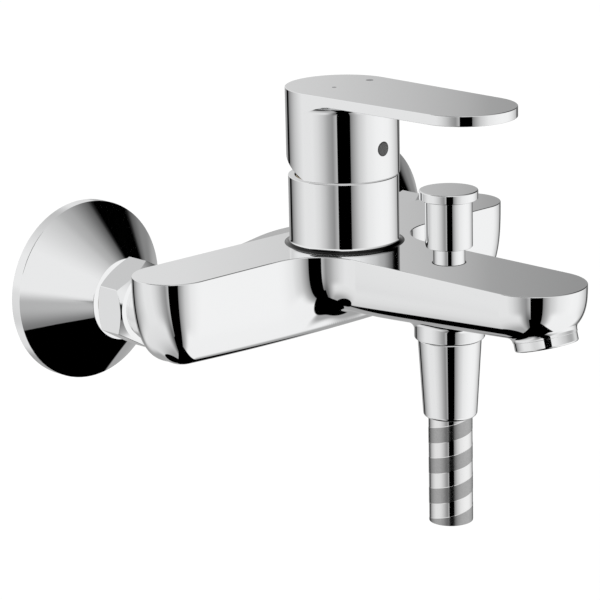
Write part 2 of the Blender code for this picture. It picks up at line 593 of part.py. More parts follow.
def check_valve(side, plastic, rubber, steel):
    """A non-return valve: seat and guide in one housing, a poppet on a stem, and its spring."""
    place = inlet_place(side)
    label = SIDE_NAMES[side]
    start = NIPPLE_START + SEAT_GAP
    end = start + CHECK_LENGTH
    inner = CHECK_RADIUS - CHECK_WALL
    housing = turned(f"check_valve_housing_{label}", [
        (CHECK_RADIUS, start),
        (CHECK_RADIUS, end),
        (inner, end),
        (inner, start + CHECK_SEAT_THICKNESS),
        (CHECK_SEAT_RADIUS, start + CHECK_SEAT_THICKNESS),
        (CHECK_SEAT_RADIUS, start),
    ], COARSE, plastic, place, TO_ROOM)
    hub = turned(f"check_valve_hub_{label}", rod(CHECK_HUB_RADIUS, end - CHECK_SPIDER, end),
                 TINY, None, place, TO_ROOM)
    arms = []
    for index in range(3):
        turn = TO_ROOM.to_matrix() @ Euler((0.0, 0.0, index * 2 * math.pi / 3)).to_matrix()
        arms.append(prism(f"check_valve_arm_{index}_{label}",
                          box_outline(CHECK_ARM_HALF_WIDTH, CHECK_HUB_RADIUS / 2, inner + CHECK_WALL / 2),
                          end - CHECK_SPIDER + CHECK_ARM_INSET, end - CHECK_ARM_INSET,
                          None, place, turn.to_euler()))
    join(housing, hub, *arms)
    guide = turned(f"check_valve_guide_{label}",
                   rod(CHECK_STEM_RADIUS + SEAT_GAP, end - CHECK_SPIDER - THROUGH, end + THROUGH),
                   TINY, None, place, TO_ROOM)
    cut(housing, guide)
    poppet_start = start + CHECK_SEAT_THICKNESS + SEAT_GAP
    axis = axis_empty(f"check_axis_{label}", (place[0], -poppet_start, 0.0))
    turned(f"check_valve_poppet_{label}", [
        (0.0, poppet_start),
        (CHECK_POPPET_RADIUS, poppet_start),
        (CHECK_POPPET_RADIUS, poppet_start + CHECK_POPPET_THICKNESS),
        (CHECK_STEM_RADIUS, poppet_start + CHECK_POPPET_THICKNESS),
        (CHECK_STEM_RADIUS, end + CHECK_STEM_RUN),
        (0.0, end + CHECK_STEM_RUN),
    ], TINY, rubber, place, TO_ROOM, axis)
    coil(f"check_valve_spring_{label}", CHECK_SPRING_RADIUS, CHECK_WIRE_RADIUS,
         poppet_start + CHECK_POPPET_THICKNESS + SEAT_GAP, end - CHECK_SPIDER - SEAT_GAP,
         CHECK_SPRING_TURNS, steel, place, TO_ROOM)


def coil(name, radius, wire, low, high, turns, material, place, turn=UPRIGHT, parent=None):
    """A compression spring of round wire, its ends cut square to the wire."""
    steps = int(8 * turns)
    sides = 4
    points, faces = [], []
    rise = (high - low - 2 * wire) / steps
    for step in range(steps + 1):
        angle = 2 * math.pi * turns * step / steps
        height = low + wire + rise * step
        for side in range(sides):
            across = 2 * math.pi * side / sides
            reach = radius + wire * math.cos(across)
            points.append((reach * math.cos(angle), reach * math.sin(angle),
                           height + wire * math.sin(across)))
    for step in range(steps):
        for side in range(sides):
            after = (side + 1) % sides
            a, b = step * sides, (step + 1) * sides
            faces.append([a + side, a + after, b + after, b + side])
    faces.append(list(range(sides)))
    faces.append(list(range(steps * sides, (steps + 1) * sides)))
    return add_object(name, points, faces, material, place, turn, parent)


# ---- body --------------------------------------------------------------------------------------
def section_inset(fraction, fullness):
    """How far a bowl's wall has come in, as part of its half width, at a part of its depth."""
    return 1.0 - (1.0 - fraction ** fullness) ** (1.0 / fullness)


def section_levels(steps):
    """Parts of the depth, closer together where the section curves most."""
    return [FOOT * math.sin(math.pi / 2 * step / steps) ** 0.85 for step in range(steps + 1)]


def loft(name, rings, material=None):
    """A closed skin over equal rings of points, with a strip of quads across both end rings."""
    count = len(rings[0])
    points = [point for ring in rings for point in ring]
    faces = []
    for level in range(len(rings) - 1):
        a, b = level * count, (level + 1) * count
        for step in range(count):
            after = (step + 1) % count
            faces.append([a + step, a + after, b + after, b + step])
    last = (len(rings) - 1) * count
    faces.append(list(range(count)))
    for step in range(count // 2):
        across = (step, step + 1, (count - step - 1) % count, (count - step) % count)
        faces.append([last + corner for corner in dict.fromkeys(across)])
    return add_object(name, points, faces, material)


def bar_depth(x):
    """Depth of the bar below its flat top: its belly is a shallow arc, deepest at the middle."""
    return BAR_DEPTH - (BAR_DEPTH - BAR_END_DEPTH) * (x / BAR_HALF_LENGTH) ** 2


def bar_ring(fraction):
    """The bar's outline at one part of its depth: straight sides with half-ellipse ends."""
    side = BAR_HALF_WIDTH * (1.0 - section_inset(fraction, BAR_SIDE_FULLNESS))
    reach = BAR_HALF_WIDTH * (1.0 - section_inset(fraction, BAR_END_FULLNESS))
    centre = BAR_HALF_LENGTH - BAR_HALF_WIDTH
    steps = 12
    outline = []
    for end in (RIGHT, LEFT):
        for step in range(steps + 1):
            angle = math.pi * (step / steps - 0.5)
            outline.append((end * (centre + reach * math.cos(angle)), end * side * math.sin(angle)))
        outline += [(end * centre * (1.0 - 2.0 * step / BAR_STEPS), end * side)
                    for step in range(1, BAR_STEPS)]
    ring = [(x, BAR_Y + y, TOP_Z - fraction * bar_depth(x)) for x, y in outline]
    start = steps // 2
    return ring[start:] + ring[:start]


def spout_ring(fraction):
    """The spout's outline at one part of its depth, from the bar's face round the tip and back.

    Its root fillets take over the bar's own section where they reach it, so the two blend.
    """
    half = []
    tip_centre = -SPOUT_REACH + SPOUT_HALF_WIDTH
    tip_inset = section_inset(fraction, SPOUT_FULLNESS)
    for step in range(9):
        angle = math.pi / 2 * step / 8
        radius = SPOUT_HALF_WIDTH * (1.0 - tip_inset)
        half.append((radius * math.sin(angle), tip_centre - radius * math.cos(angle),
                     TOP_Z - fraction * spout_depth(tip_centre - radius * math.cos(angle))))
    bar_face = BAR_Y - BAR_HALF_WIDTH
    centre = (SPOUT_HALF_WIDTH + ROOT_FILLET, bar_face - ROOT_FILLET)
    half.append((SPOUT_HALF_WIDTH * (1.0 - tip_inset), DIVERTER_Y,
                 TOP_Z - fraction * spout_depth(DIVERTER_Y)))
    steps = 8
    for step in range(steps + 1):
        blend = step / steps
        smooth = blend * blend * (3.0 - 2.0 * blend)
        fullness = SPOUT_FULLNESS + smooth * (BAR_SIDE_FULLNESS - SPOUT_FULLNESS)
        width = SPOUT_HALF_WIDTH + smooth * (BAR_HALF_WIDTH - SPOUT_HALF_WIDTH)
        inset = width * section_inset(fraction, fullness) + smooth * ROOT_TUCK
        angle = math.pi - math.pi / 2 * blend
        radius = ROOT_FILLET + inset
        x = centre[0] + radius * math.cos(angle)
        y = centre[1] + radius * math.sin(angle)
        depth = spout_depth(centre[1]) + smooth * (bar_depth(x) - ROOT_TUCK - spout_depth(centre[1]))
        half.append((x, y, TOP_Z - fraction * depth))
    inside = (bar_depth(centre[0]) - MELD) * fraction
    half.append((centre[0], BAR_Y - SPOUT_MELD, TOP_Z - inside))
    mirrored = [(-x, y, z) for x, y, z in reversed(half[1:])]
    return half + mirrored


def spout_depth(y):
    """Depth of the spout below its flat top: shallower towards the tip."""
    root, tip = BAR_Y - BAR_HALF_WIDTH - ROOT_FILLET, -SPOUT_REACH
    part = min(1.0, max(0.0, (y - root) / (tip - root)))
    return SPOUT_ROOT_DEPTH + part * (SPOUT_TIP_DEPTH - SPOUT_ROOT_DEPTH)


def lever_slope():
    """Sine of the angle between the lever's sides and its long axis."""
    return (HANDLE_RADIUS - LEVER_TIP_RADIUS) / (LEVER_REACH - LEVER_TIP_RADIUS + TOWER_Y)


def body_casting(material):
    """Bar, spout, tower and outlet collar in one casting, with its water ways cored out."""
    bar = loft("body_casting", [bar_ring(fraction) for fraction in section_levels(7)], material)
    spout = loft("spout_form", [spout_ring(fraction) for fraction in section_levels(7)])
    tower = turned("tower_form", [
        (0.0, TOP_Z - TOWER_ROOT),
        (TOWER_RADIUS + TOWER_FILLET, TOP_Z - TOWER_ROOT),
        (TOWER_RADIUS + TOWER_FILLET, TOP_Z),
        *reversed(arc((TOWER_RADIUS + TOWER_FILLET, TOP_Z + TOWER_FILLET), TOWER_FILLET, 180, 255, 3)),
        (TOWER_RADIUS, TOWER_TOP_Z - TOWER_EDGE),
        (TOWER_RADIUS - TOWER_EDGE, TOWER_TOP_Z),
        (0.0, TOWER_TOP_Z),
    ], FINE, None, (0.0, TOWER_Y, 0.0))
    collar = turned("collar_form", rod(COLLAR_RADIUS, COLLAR_BOTTOM_Z, COLLAR_ROOT_Z), FINE, None,
                    (DIVERTER_X, DIVERTER_Y, 0.0))
    bosses = [turned(f"inlet_boss_{SIDE_NAMES[side]}", rod(BOSS_RADIUS, BOSS_FACE, BOSS_FACE + BOSS_ROOT),
                     MEDIUM, None, inlet_place(side), TO_ROOM) for side in (LEFT, RIGHT)]
    join(bar, spout, tower, collar, *bosses)
    cut(bar, *cartridge_ways(), *inlet_ways(), *spout_ways())


def cartridge_ways():
    """The cartridge cavity and the three ports in its floor."""
    place = (0.0, TOWER_Y, 0.0)
    cavity = turned("cartridge_cavity", rod(CAVITY_RADIUS, CAVITY_FLOOR_Z, TOWER_TOP_Z + THROUGH),
                    FINE, None, place)
    hot = turned("hot_port", rod(PORT_RADIUS, 0.0, CAVITY_FLOOR_Z + THROUGH), TINY, None,
                 (-INLET_PORT_X, TOWER_Y + INLET_PORT_Y, 0.0))
    cold = turned("cold_port", rod(PORT_RADIUS, 0.0, CAVITY_FLOOR_Z + THROUGH), TINY, None,
                  (INLET_PORT_X, TOWER_Y + INLET_PORT_Y, 0.0))
    outlet = turned("outlet_port", rod(PORT_RADIUS, REAR_CHANNEL_Z, CAVITY_FLOOR_Z + THROUGH), TINY, None,
                    (0.0, TOWER_Y - OUTLET_PORT_Y, 0.0))
    return cavity, hot, cold, outlet


def inlet_ways():
    """A threaded seat for each nipple, and a channel from it along the bar to the cartridge."""
    tools = []
    seat_end = BOSS_FACE + NIPPLE_THREAD_LENGTH + INLET_DRILL
    for side in (LEFT, RIGHT):
        label = SIDE_NAMES[side]
        tools.append(turned(f"nipple_seat_{label}", [
            (0.0, BOSS_FACE - THROUGH),
            (NIPPLE_THREAD_RADIUS + THREAD_GAP, BOSS_FACE - THROUGH),
            (NIPPLE_THREAD_RADIUS + THREAD_GAP, seat_end),
            (NIPPLE_BORE_RADIUS, seat_end),
            (NIPPLE_BORE_RADIUS, -BAR_Y + INLET_CROSSING),
            (0.0, -BAR_Y + INLET_CROSSING),
        ], MEDIUM, None, inlet_place(side), TO_ROOM))
        far = side * INLET_SPACING / 2
        near = side * CHANNEL_PARTITION
        tools.append(turned(f"inlet_channel_{label}", rod(CHANNEL_RADIUS, min(near, far), max(near, far)),
                            TINY, None, (0.0, BAR_Y - CHANNEL_OFFSET, 0.0), Euler((0.0, math.pi / 2, 0.0))))
    return tools


def spout_ways():
    """Cartridge to diverter chamber, chamber to shower collar, chamber to aerator."""
    rear = turned("rear_channel",
                  rod(REAR_CHANNEL_RADIUS, -TOWER_Y + OUTLET_PORT_Y - PORT_RADIUS / 2, -DIVERTER_Y),
                  TINY, None, (0.0, 0.0, REAR_CHANNEL_Z), TO_ROOM)
    front = turned("front_channel", rod(FRONT_CHANNEL_RADIUS, -DIVERTER_Y, -AERATOR_Y - FRONT_CHANNEL_STOP),
                   TINY, None, (0.0, 0.0, FRONT_CHANNEL_Z), TO_ROOM)
    nipple_bore = OUTLET_THREAD_RADIUS - OUTLET_NECK_STEP + THREAD_GAP
    chamber = turned("diverter_chamber", [
        (0.0, COLLAR_BOTTOM_Z - THROUGH),
        (nipple_bore, COLLAR_BOTTOM_Z - THROUGH),
        (nipple_bore, LOWER_SEAT_Z + SEAT_GAP),
        (VALVE_CHAMBER_RADIUS, LOWER_SEAT_Z + SEAT_GAP),
        (VALVE_CHAMBER_RADIUS, UPPER_SEAT_Z),
        (UPPER_SEAT_RADIUS, UPPER_SEAT_Z),
        (UPPER_SEAT_RADIUS, BUSH_BOTTOM_Z - SEAT_GAP),
        (BUSH_RADIUS + THREAD_GAP, BUSH_BOTTOM_Z - SEAT_GAP),
        (BUSH_RADIUS + THREAD_GAP, TOP_Z + THROUGH),
        (0.0, TOP_Z + THROUGH),
    ], MEDIUM, None, (DIVERTER_X, DIVERTER_Y, 0.0))
    seat_end = AERATOR_LENGTH + AERATOR_GASKET + 2 * SEAT_GAP
    aerator = turned("aerator_seat", [
        (0.0, -AERATOR_MOUTH),
        (AERATOR_RADIUS + SEAT_GAP, -AERATOR_MOUTH),
        (AERATOR_RADIUS + SEAT_GAP, AERATOR_RING_LENGTH + SEAT_GAP),
        (AERATOR_THREAD_RADIUS + THREAD_GAP, AERATOR_RING_LENGTH + SEAT_GAP),
        (AERATOR_THREAD_RADIUS + THREAD_GAP, seat_end),
        (0.0, seat_end),
    ], FINE, None, (0.0, AERATOR_Y, AERATOR_Z), UP_AERATOR)
    return rear, front, chamber, aerator


# ---- cartridge ---------------------------------------------------------------------------------
def port_tools(label, low, high, radius):
    """Three round cutters over the ports in the cavity's floor."""
    places = ((-INLET_PORT_X, TOWER_Y + INLET_PORT_Y), (INLET_PORT_X, TOWER_Y + INLET_PORT_Y),
              (0.0, TOWER_Y - OUTLET_PORT_Y))
    outline = rod(radius, low - THROUGH, high + THROUGH)
    return [turned(f"{label}_port_{index}", outline, TINY, None, (x, y, 0.0))
            for index, (x, y) in enumerate(places)]


def cartridge_fixed(plastic, rubber, ceramic, brass, chrome):
    """What stays still in the tower: gasket, base, lower ceramic disc, housing and the rings above."""
    place = (0.0, TOWER_Y, 0.0)
    low = CAVITY_FLOOR_Z + SEAT_GAP
    gasket = turned("cartridge_gasket", rod(CARTRIDGE_RADIUS - GASKET_INSET, low, low + GASKET_THICKNESS),
                    MEDIUM, rubber, place)
    cut(gasket, *port_tools("gasket", low, low + GASKET_THICKNESS, PORT_RADIUS))
    base = turned("cartridge_base", rod(CARTRIDGE_RADIUS, BASE_Z, BASE_Z + CARTRIDGE_BASE),
                  MEDIUM, plastic, place)
    cut(base, *port_tools("base", BASE_Z, BASE_Z + CARTRIDGE_BASE, PORT_RADIUS))
    disc = turned("ceramic_disc_fixed", rod(FIXED_DISC_RADIUS, FIXED_DISC_Z, FIXED_DISC_Z + DISC_THICKNESS),
                  MEDIUM, ceramic, place)
    cut(disc, *port_tools("disc", FIXED_DISC_Z, FIXED_DISC_Z + DISC_THICKNESS, PORT_RADIUS))
    turned("cartridge_housing", [
        (CARTRIDGE_RADIUS, FIXED_DISC_Z),
        (CARTRIDGE_RADIUS, SHOULDER_Z),
        (HOUSING_NECK_RADIUS, SHOULDER_Z),
        (HOUSING_NECK_RADIUS, HOUSING_TOP_Z),
        (ROTOR_NECK_RADIUS + SEAT_GAP, HOUSING_TOP_Z),
        (ROTOR_NECK_RADIUS + SEAT_GAP, SHOULDER_Z - SHOULDER),
        (CHAMBER_RADIUS, SHOULDER_Z - SHOULDER),
        (CHAMBER_RADIUS, FIXED_DISC_Z),
    ], MEDIUM, plastic, place)
    inner = HOUSING_NECK_RADIUS + SEAT_GAP
    nut = turned("cartridge_ring_nut",
                 tube(CAVITY_RADIUS - THREAD_GAP, inner, RING_NUT_Z, RING_NUT_Z + RING_NUT_HEIGHT),
                 MEDIUM, brass, place)
    reach = CAVITY_RADIUS + THROUGH
    slots = [prism(f"ring_nut_slot_{index}", box_outline(RING_SLOT_HALF_WIDTH, -reach, reach),
                   RING_NUT_Z + RING_NUT_HEIGHT - RING_SLOT_DEPTH, RING_NUT_Z + RING_NUT_HEIGHT + THROUGH,
                   None, place, Euler((0.0, 0.0, index * math.pi / 2))) for index in range(2)]
    cut(nut, *slots)
    turned("temperature_limit_ring",
           tube(LIMIT_RING_RADIUS, inner, LIMIT_RING_Z, LIMIT_RING_Z + LIMIT_RING_HEIGHT),
           MEDIUM, plastic, place)
    turned("tower_trim_ring", [
        (TRIM_RING_RADIUS, LIMIT_RING_Z),
        (TRIM_RING_RADIUS, LIMIT_RING_Z + TRIM_RING_HEIGHT - TRIM_RING_EDGE),
        (TRIM_RING_RADIUS - TRIM_RING_EDGE, LIMIT_RING_Z + TRIM_RING_HEIGHT),
        (LIMIT_RING_RADIUS + SEAT_GAP, LIMIT_RING_Z + TRIM_RING_HEIGHT),
        (LIMIT_RING_RADIUS + SEAT_GAP, LIMIT_RING_Z),
    ], MEDIUM, chrome, place)


def cartridge_rotor(turn_axis, plastic, steel):
    """The part that turns with the lever and holds the pin that the spindle tilts on."""
    place = (0.0, TOWER_Y, 0.0)
    flange_top = ROTOR_Z + ROTOR_FLANGE
    rotor = turned("cartridge_rotor", [
        (0.0, ROTOR_Z),
        (CHAMBER_RADIUS - SEAT_GAP, ROTOR_Z),
        (CHAMBER_RADIUS - SEAT_GAP, flange_top),
        (ROTOR_NECK_RADIUS, flange_top),
        (ROTOR_NECK_RADIUS, ROTOR_TOP_Z),
        (0.0, ROTOR_TOP_Z),
    ], MEDIUM, plastic, place, UPRIGHT, turn_axis)
    shank_slot = prism("rotor_shank_slot",
                       box_outline(SPINDLE_SHANK_RADIUS + SHANK_SLOT_CLEARANCE,
                                   -SHANK_SLOT_FRONT, SHANK_SLOT_BACK),
                       ROTOR_Z - THROUGH, flange_top + THROUGH, None, place)
    block_slot = prism("rotor_block_slot",
                       box_outline(SPINDLE_SIDE / 2 + SEAT_GAP, -BLOCK_SLOT_FRONT, BLOCK_SLOT_BACK),
                       flange_top + BLOCK_SLOT_FLOOR, ROTOR_TOP_Z + THROUGH, None, place)
    cut(rotor, shank_slot, block_slot, pin_tool("rotor_pin_hole"))
    half = ROTOR_NECK_RADIUS - PIN_INSET
    turned("lever_pivot_pin", rod(PIN_RADIUS, -half, half), TINY, steel,
           (0.0, TOWER_Y, PIVOT_Z), Euler((0.0, math.pi / 2, 0.0)), turn_axis)


def pin_tool(name):
    reach = ROTOR_NECK_RADIUS + THROUGH
    return turned(name, rod(PIN_RADIUS + SEAT_GAP, -reach, reach), TINY, None,
                  (0.0, TOWER_Y, PIVOT_Z), Euler((0.0, math.pi / 2, 0.0)))


def disc_slide(slide_axis, plastic, ceramic):
    """The upper ceramic disc and its carrier, which the spindle's ball pushes to and fro."""
    middle = TOWER_Y + DISC_TRAVEL / 2
    place = (0.0, middle, 0.0)
    disc = turned("ceramic_disc_moving",
                  rod(MOVING_DISC_RADIUS, MOVING_DISC_Z, MOVING_DISC_Z + DISC_THICKNESS),
                  MEDIUM, ceramic, place, UPRIGHT, slide_axis)
    pocket = turned("mixing_pocket",
                    rod(POCKET_RADIUS, MOVING_DISC_Z - THROUGH, MOVING_DISC_Z + POCKET_DEPTH),
                    COARSE, None, (0.0, middle - POCKET_OFFSET, 0.0))
    cut(disc, pocket)
    carrier = turned("disc_carrier", rod(MOVING_DISC_RADIUS, CARRIER_Z, CARRIER_Z + CARRIER_HEIGHT),
                     MEDIUM, plastic, place, UPRIGHT, slide_axis)
    bore = rod(SPINDLE_BALL_RADIUS + SEAT_GAP, CARRIER_Z - THROUGH, CARRIER_Z + CARRIER_HEIGHT + THROUGH)
    socket = turned("ball_socket", bore, COARSE, None, (0.0, TOWER_Y, 0.0))
    cut(carrier, socket)


# ---- lever -------------------------------------------------------------------------------------
def spindle(lift_axis, steel):
    """A square head for the handle, a pin hole, and a ball that drives the upper disc."""
    half = SPINDLE_SIDE / 2
    place = (0.0, TOWER_Y, 0.0)
    head = prism("lever_spindle", box_outline(half, -half, half), SPINDLE_BLOCK_Z, SPINDLE_TOP_Z,
                 steel, place, UPRIGHT, lift_axis)
    neck_angle = math.degrees(math.acos(SPINDLE_SHANK_RADIUS / SPINDLE_BALL_RADIUS))
    ball = arc((0.0, SPINDLE_BALL_Z), SPINDLE_BALL_RADIUS, -90, neck_angle, 8)
    ball[0] = (0.0, SPINDLE_BALL_Z - SPINDLE_BALL_RADIUS)
    shank = turned("spindle_shank", [
        *ball,
        (SPINDLE_SHANK_RADIUS, SPINDLE_BLOCK_Z + THROUGH),
        (0.0, SPINDLE_BLOCK_Z + THROUGH),
    ], TINY, None, place)
    join(head, shank)
    cut(head, pin_tool("spindle_pin_hole"))


def lever_outline():
    """Round over the tower, straight narrowing sides, round tip; x and y from the tower's axis."""
    lean = math.degrees(math.asin(lever_slope()))
    tip = (0.0, -(LEVER_REACH - LEVER_TIP_RADIUS + TOWER_Y))
    back = arc((0.0, 0.0), HANDLE_RADIUS, 0, 180, FINE // 2)
    side = arc((0.0, 0.0), HANDLE_RADIUS, -lean, 180 + lean, 1)
    return [side[0], *back, side[1], *arc(tip, LEVER_TIP_RADIUS, 180 + lean, 360 - lean, 20)]


def handle(lift_axis, chrome):
    """Skirt over the tower and flat lever in one casting, with a socket on the spindle."""
    place = (0.0, TOWER_Y, 0.0)
    underside = HANDLE_TOP_Z - LEVER_THICKNESS
    lever = prism("handle", lever_outline(), underside, HANDLE_TOP_Z, chrome, place, UPRIGHT, lift_axis)
    skirt = turned("handle_skirt", [
        (0.0, SKIRT_Z),
        (HANDLE_RADIUS, SKIRT_Z),
        (HANDLE_RADIUS, underside),
        (HANDLE_RADIUS - SKIRT_STEP, underside),
        (HANDLE_RADIUS - SKIRT_STEP, underside + SKIRT_MELD),
        (0.0, underside + SKIRT_MELD),
    ], FINE, None, place)
    corner = (HANDLE_RADIUS + LEVER_FILLET, underside - LEVER_FILLET)
    fillet = turned("handle_fillet", [
        (HANDLE_RADIUS - SKIRT_STEP, corner[1]),
        *reversed(arc(corner, LEVER_FILLET, 95, 180, 4)),
        (corner[0], underside + SKIRT_STEP),
        (HANDLE_RADIUS - SKIRT_STEP, underside + SKIRT_STEP),
    ], FINE, None, place)
    near, far = UNDER_LEVER_START, HANDLE_RADIUS + LEVER_FILLET + MELD
    wide = [HANDLE_RADIUS / math.cos(math.asin(lever_slope())) - lever_slope() * at for at in (near, far)]
    strip = [(-wide[0], -near), (-wide[1], -far), (wide[1], -far), (wide[0], -near)]
    under_lever = prism("under_lever", strip, SKIRT_Z, HANDLE_TOP_Z, None, place)
    keep_inside(fillet, under_lever)
    join(lever, skirt, fillet)
    inner = HANDLE_RADIUS - HANDLE_WALL
    hollow = turned("handle_hollow", [
        (0.0, SKIRT_Z - THROUGH),
        (inner, SKIRT_Z - THROUGH),
        (inner, HANDLE_TOP_Z - HANDLE_ROOF),
        (SOCKET_RADIUS, HANDLE_TOP_Z - HANDLE_ROOF),
        (SOCKET_RADIUS, SOCKET_BOTTOM_Z),
        (0.0, SOCKET_BOTTOM_Z),
    ], FINE, None, place)
    half = SPINDLE_SIDE / 2 + SEAT_GAP
    socket = prism("handle_socket", box_outline(half, -half, half), SOCKET_BOTTOM_Z - THROUGH,
                   SPINDLE_TOP_Z + SEAT_GAP, None, place)
    screw_end = -TOWER_Y + SPINDLE_SIDE / 2
    skirt_inside = -TOWER_Y + inner - THROUGH
    screw_way = turned("handle_screw_way", [
        (0.0, screw_end),
        (SCREW_RADIUS + THREAD_GAP, screw_end),
        (SCREW_RADIUS + THREAD_GAP, skirt_inside),
        (PLUG_RADIUS + SEAT_GAP, skirt_inside),
        (PLUG_RADIUS + SEAT_GAP, -TOWER_Y + HANDLE_RADIUS + THROUGH),
        (0.0, -TOWER_Y + HANDLE_RADIUS + THROUGH),
    ], TINY, None, (0.0, 0.0, SCREW_Z), TO_ROOM)
    cut(lever, hollow, socket, screw_way, skirt_relief())
    screw_start = screw_end + SEAT_GAP
    screw = turned("handle_set_screw", rod(SCREW_RADIUS, screw_start, screw_start + SCREW_LENGTH), TINY,
                   chrome, (0.0, 0.0, SCREW_Z), TO_ROOM, lift_axis)
    key = KEY_HALF_FLATS / math.cos(math.pi / 6)
    key_way = turned("screw_key_way", rod(key, screw_start + SCREW_LENGTH - KEY_DEPTH,
                                          screw_start + SCREW_LENGTH + THROUGH), 6, None,
                     (0.0, 0.0, SCREW_Z), TO_ROOM)
    cut(screw, key_way)


def handle_plug(lift_axis, grey):
    """The small grey plug that closes the set screw's hole."""
    face = -TOWER_Y + HANDLE_RADIUS - PLUG_RECESS
    turned("handle_plug", rod(PLUG_RADIUS, face - PLUG_LENGTH, face), TINY, grey,
           (0.0, 0.0, SCREW_Z), TO_ROOM, lift_axis)


def skirt_relief():
    """Cuts the skirt's back edge on the plane that lies level once the lever is fully lifted."""
    rise = math.tan(LIFT_ANGLE)
    over_axis = PIVOT_Z + (SKIRT_Z - PIVOT_Z) / math.cos(LIFT_ANGLE)
    start = (SKIRT_Z - over_axis) / rise
    far = HANDLE_RADIUS + RELIEF_MARGIN
    below = SKIRT_Z - RELIEF_MARGIN
    outline = [(TOWER_Y + start - RELIEF_MARGIN / rise, below), (TOWER_Y + far, below),
               (TOWER_Y + far, over_axis + far * rise)]
    reach = HANDLE_RADIUS + THROUGH
    return prism("skirt_relief", outline, -reach, reach, None, (0.0, 0.0, 0.0), ALONG_X)


# ---- diverter and shower outlet ----------------------------------------------------------------
def diverter(pull_axis, chrome, brass, rubber, steel):
    """Knob, rod and valve disc in one pulled train, a fixed bush round the rod, and a return spring."""
    place = (DIVERTER_X, DIVERTER_Y, 0.0)
    bore = ROD_RADIUS + SEAT_GAP
    groove = bore + ROD_GROOVE_DEPTH
    turned("diverter_bush", [
        (BUSH_RADIUS, BUSH_BOTTOM_Z),
        (BUSH_RADIUS, BUSH_TOP_Z),
        (bore, BUSH_TOP_Z),
        (bore, ROD_SEAL_Z + ROD_SEAL_THICKNESS + SEAT_GAP),
        (groove, ROD_SEAL_Z + ROD_SEAL_THICKNESS + SEAT_GAP),
        (groove, ROD_SEAL_Z - SEAT_GAP),
        (bore, ROD_SEAL_Z - SEAT_GAP),
        (bore, BUSH_BOTTOM_Z),
    ], COARSE, chrome, place)
    half = ROD_SEAL_THICKNESS / 2
    turned("diverter_rod_seal", arc((bore + half, ROD_SEAL_Z + half), half, 0, 315, 7), TINY, rubber, place)
    hollow = BUSH_RADIUS + SEAT_GAP
    roof = KNOB_TOP_Z - KNOB_ROOF
    turned("diverter_knob", [
        (0.0, KNOB_TOP_Z),
        (KNOB_CAP_RADIUS, KNOB_TOP_Z),
        (KNOB_CAP_RADIUS, KNOB_TOP_Z - KNOB_CAP_THICKNESS),
        (KNOB_RADIUS, KNOB_TOP_Z - KNOB_CAP_THICKNESS),
        (KNOB_RADIUS, KNOB_BOTTOM_Z),
        (hollow, KNOB_BOTTOM_Z),
        (hollow, roof),
        (bore, roof),
        (bore, KNOB_TOP_Z - KNOB_FACE),
        (0.0, KNOB_TOP_Z - KNOB_FACE),
    ], MEDIUM, chrome, place, UPRIGHT, pull_axis)
    rivet_top = VALVE_SEAL_Z - SEAT_GAP
    rod_foot = VALVE_DISC_Z + VALVE_DISC_THICKNESS + SEAT_GAP
    turned("diverter_rod", [
        (0.0, rivet_top - RIVET_HEIGHT),
        (RIVET_RADIUS, rivet_top - RIVET_HEIGHT),
        (RIVET_RADIUS, rivet_top),
        (ROD_STEM_RADIUS, rivet_top),
        (ROD_STEM_RADIUS, rod_foot),
        (ROD_RADIUS, rod_foot),
        (ROD_RADIUS, KNOB_TOP_Z - KNOB_FACE - SEAT_GAP),
        (0.0, KNOB_TOP_Z - KNOB_FACE - SEAT_GAP),
    ], TINY, steel, place, UPRIGHT, pull_axis)
    turned("diverter_valve_disc",
           tube(VALVE_DISC_RADIUS, ROD_STEM_RADIUS + SEAT_GAP,
                VALVE_DISC_Z, VALVE_DISC_Z + VALVE_DISC_THICKNESS),
           COARSE, brass, place, UPRIGHT, pull_axis)
    turned("diverter_valve_seal",
           tube(VALVE_DISC_RADIUS - VALVE_SEAL_INSET, ROD_STEM_RADIUS + SEAT_GAP,
                VALVE_SEAL_Z, VALVE_SEAL_Z + VALVE_SEAL_THICKNESS),
           COARSE, rubber, place, UPRIGHT, pull_axis)
    coil("diverter_spring", DIVERTER_SPRING_RADIUS, DIVERTER_WIRE_RADIUS,
         VALVE_DISC_Z + VALVE_DISC_THICKNESS + SEAT_GAP, BUSH_BOTTOM_Z - SEAT_GAP,
         DIVERTER_SPRING_TURNS, steel, place)


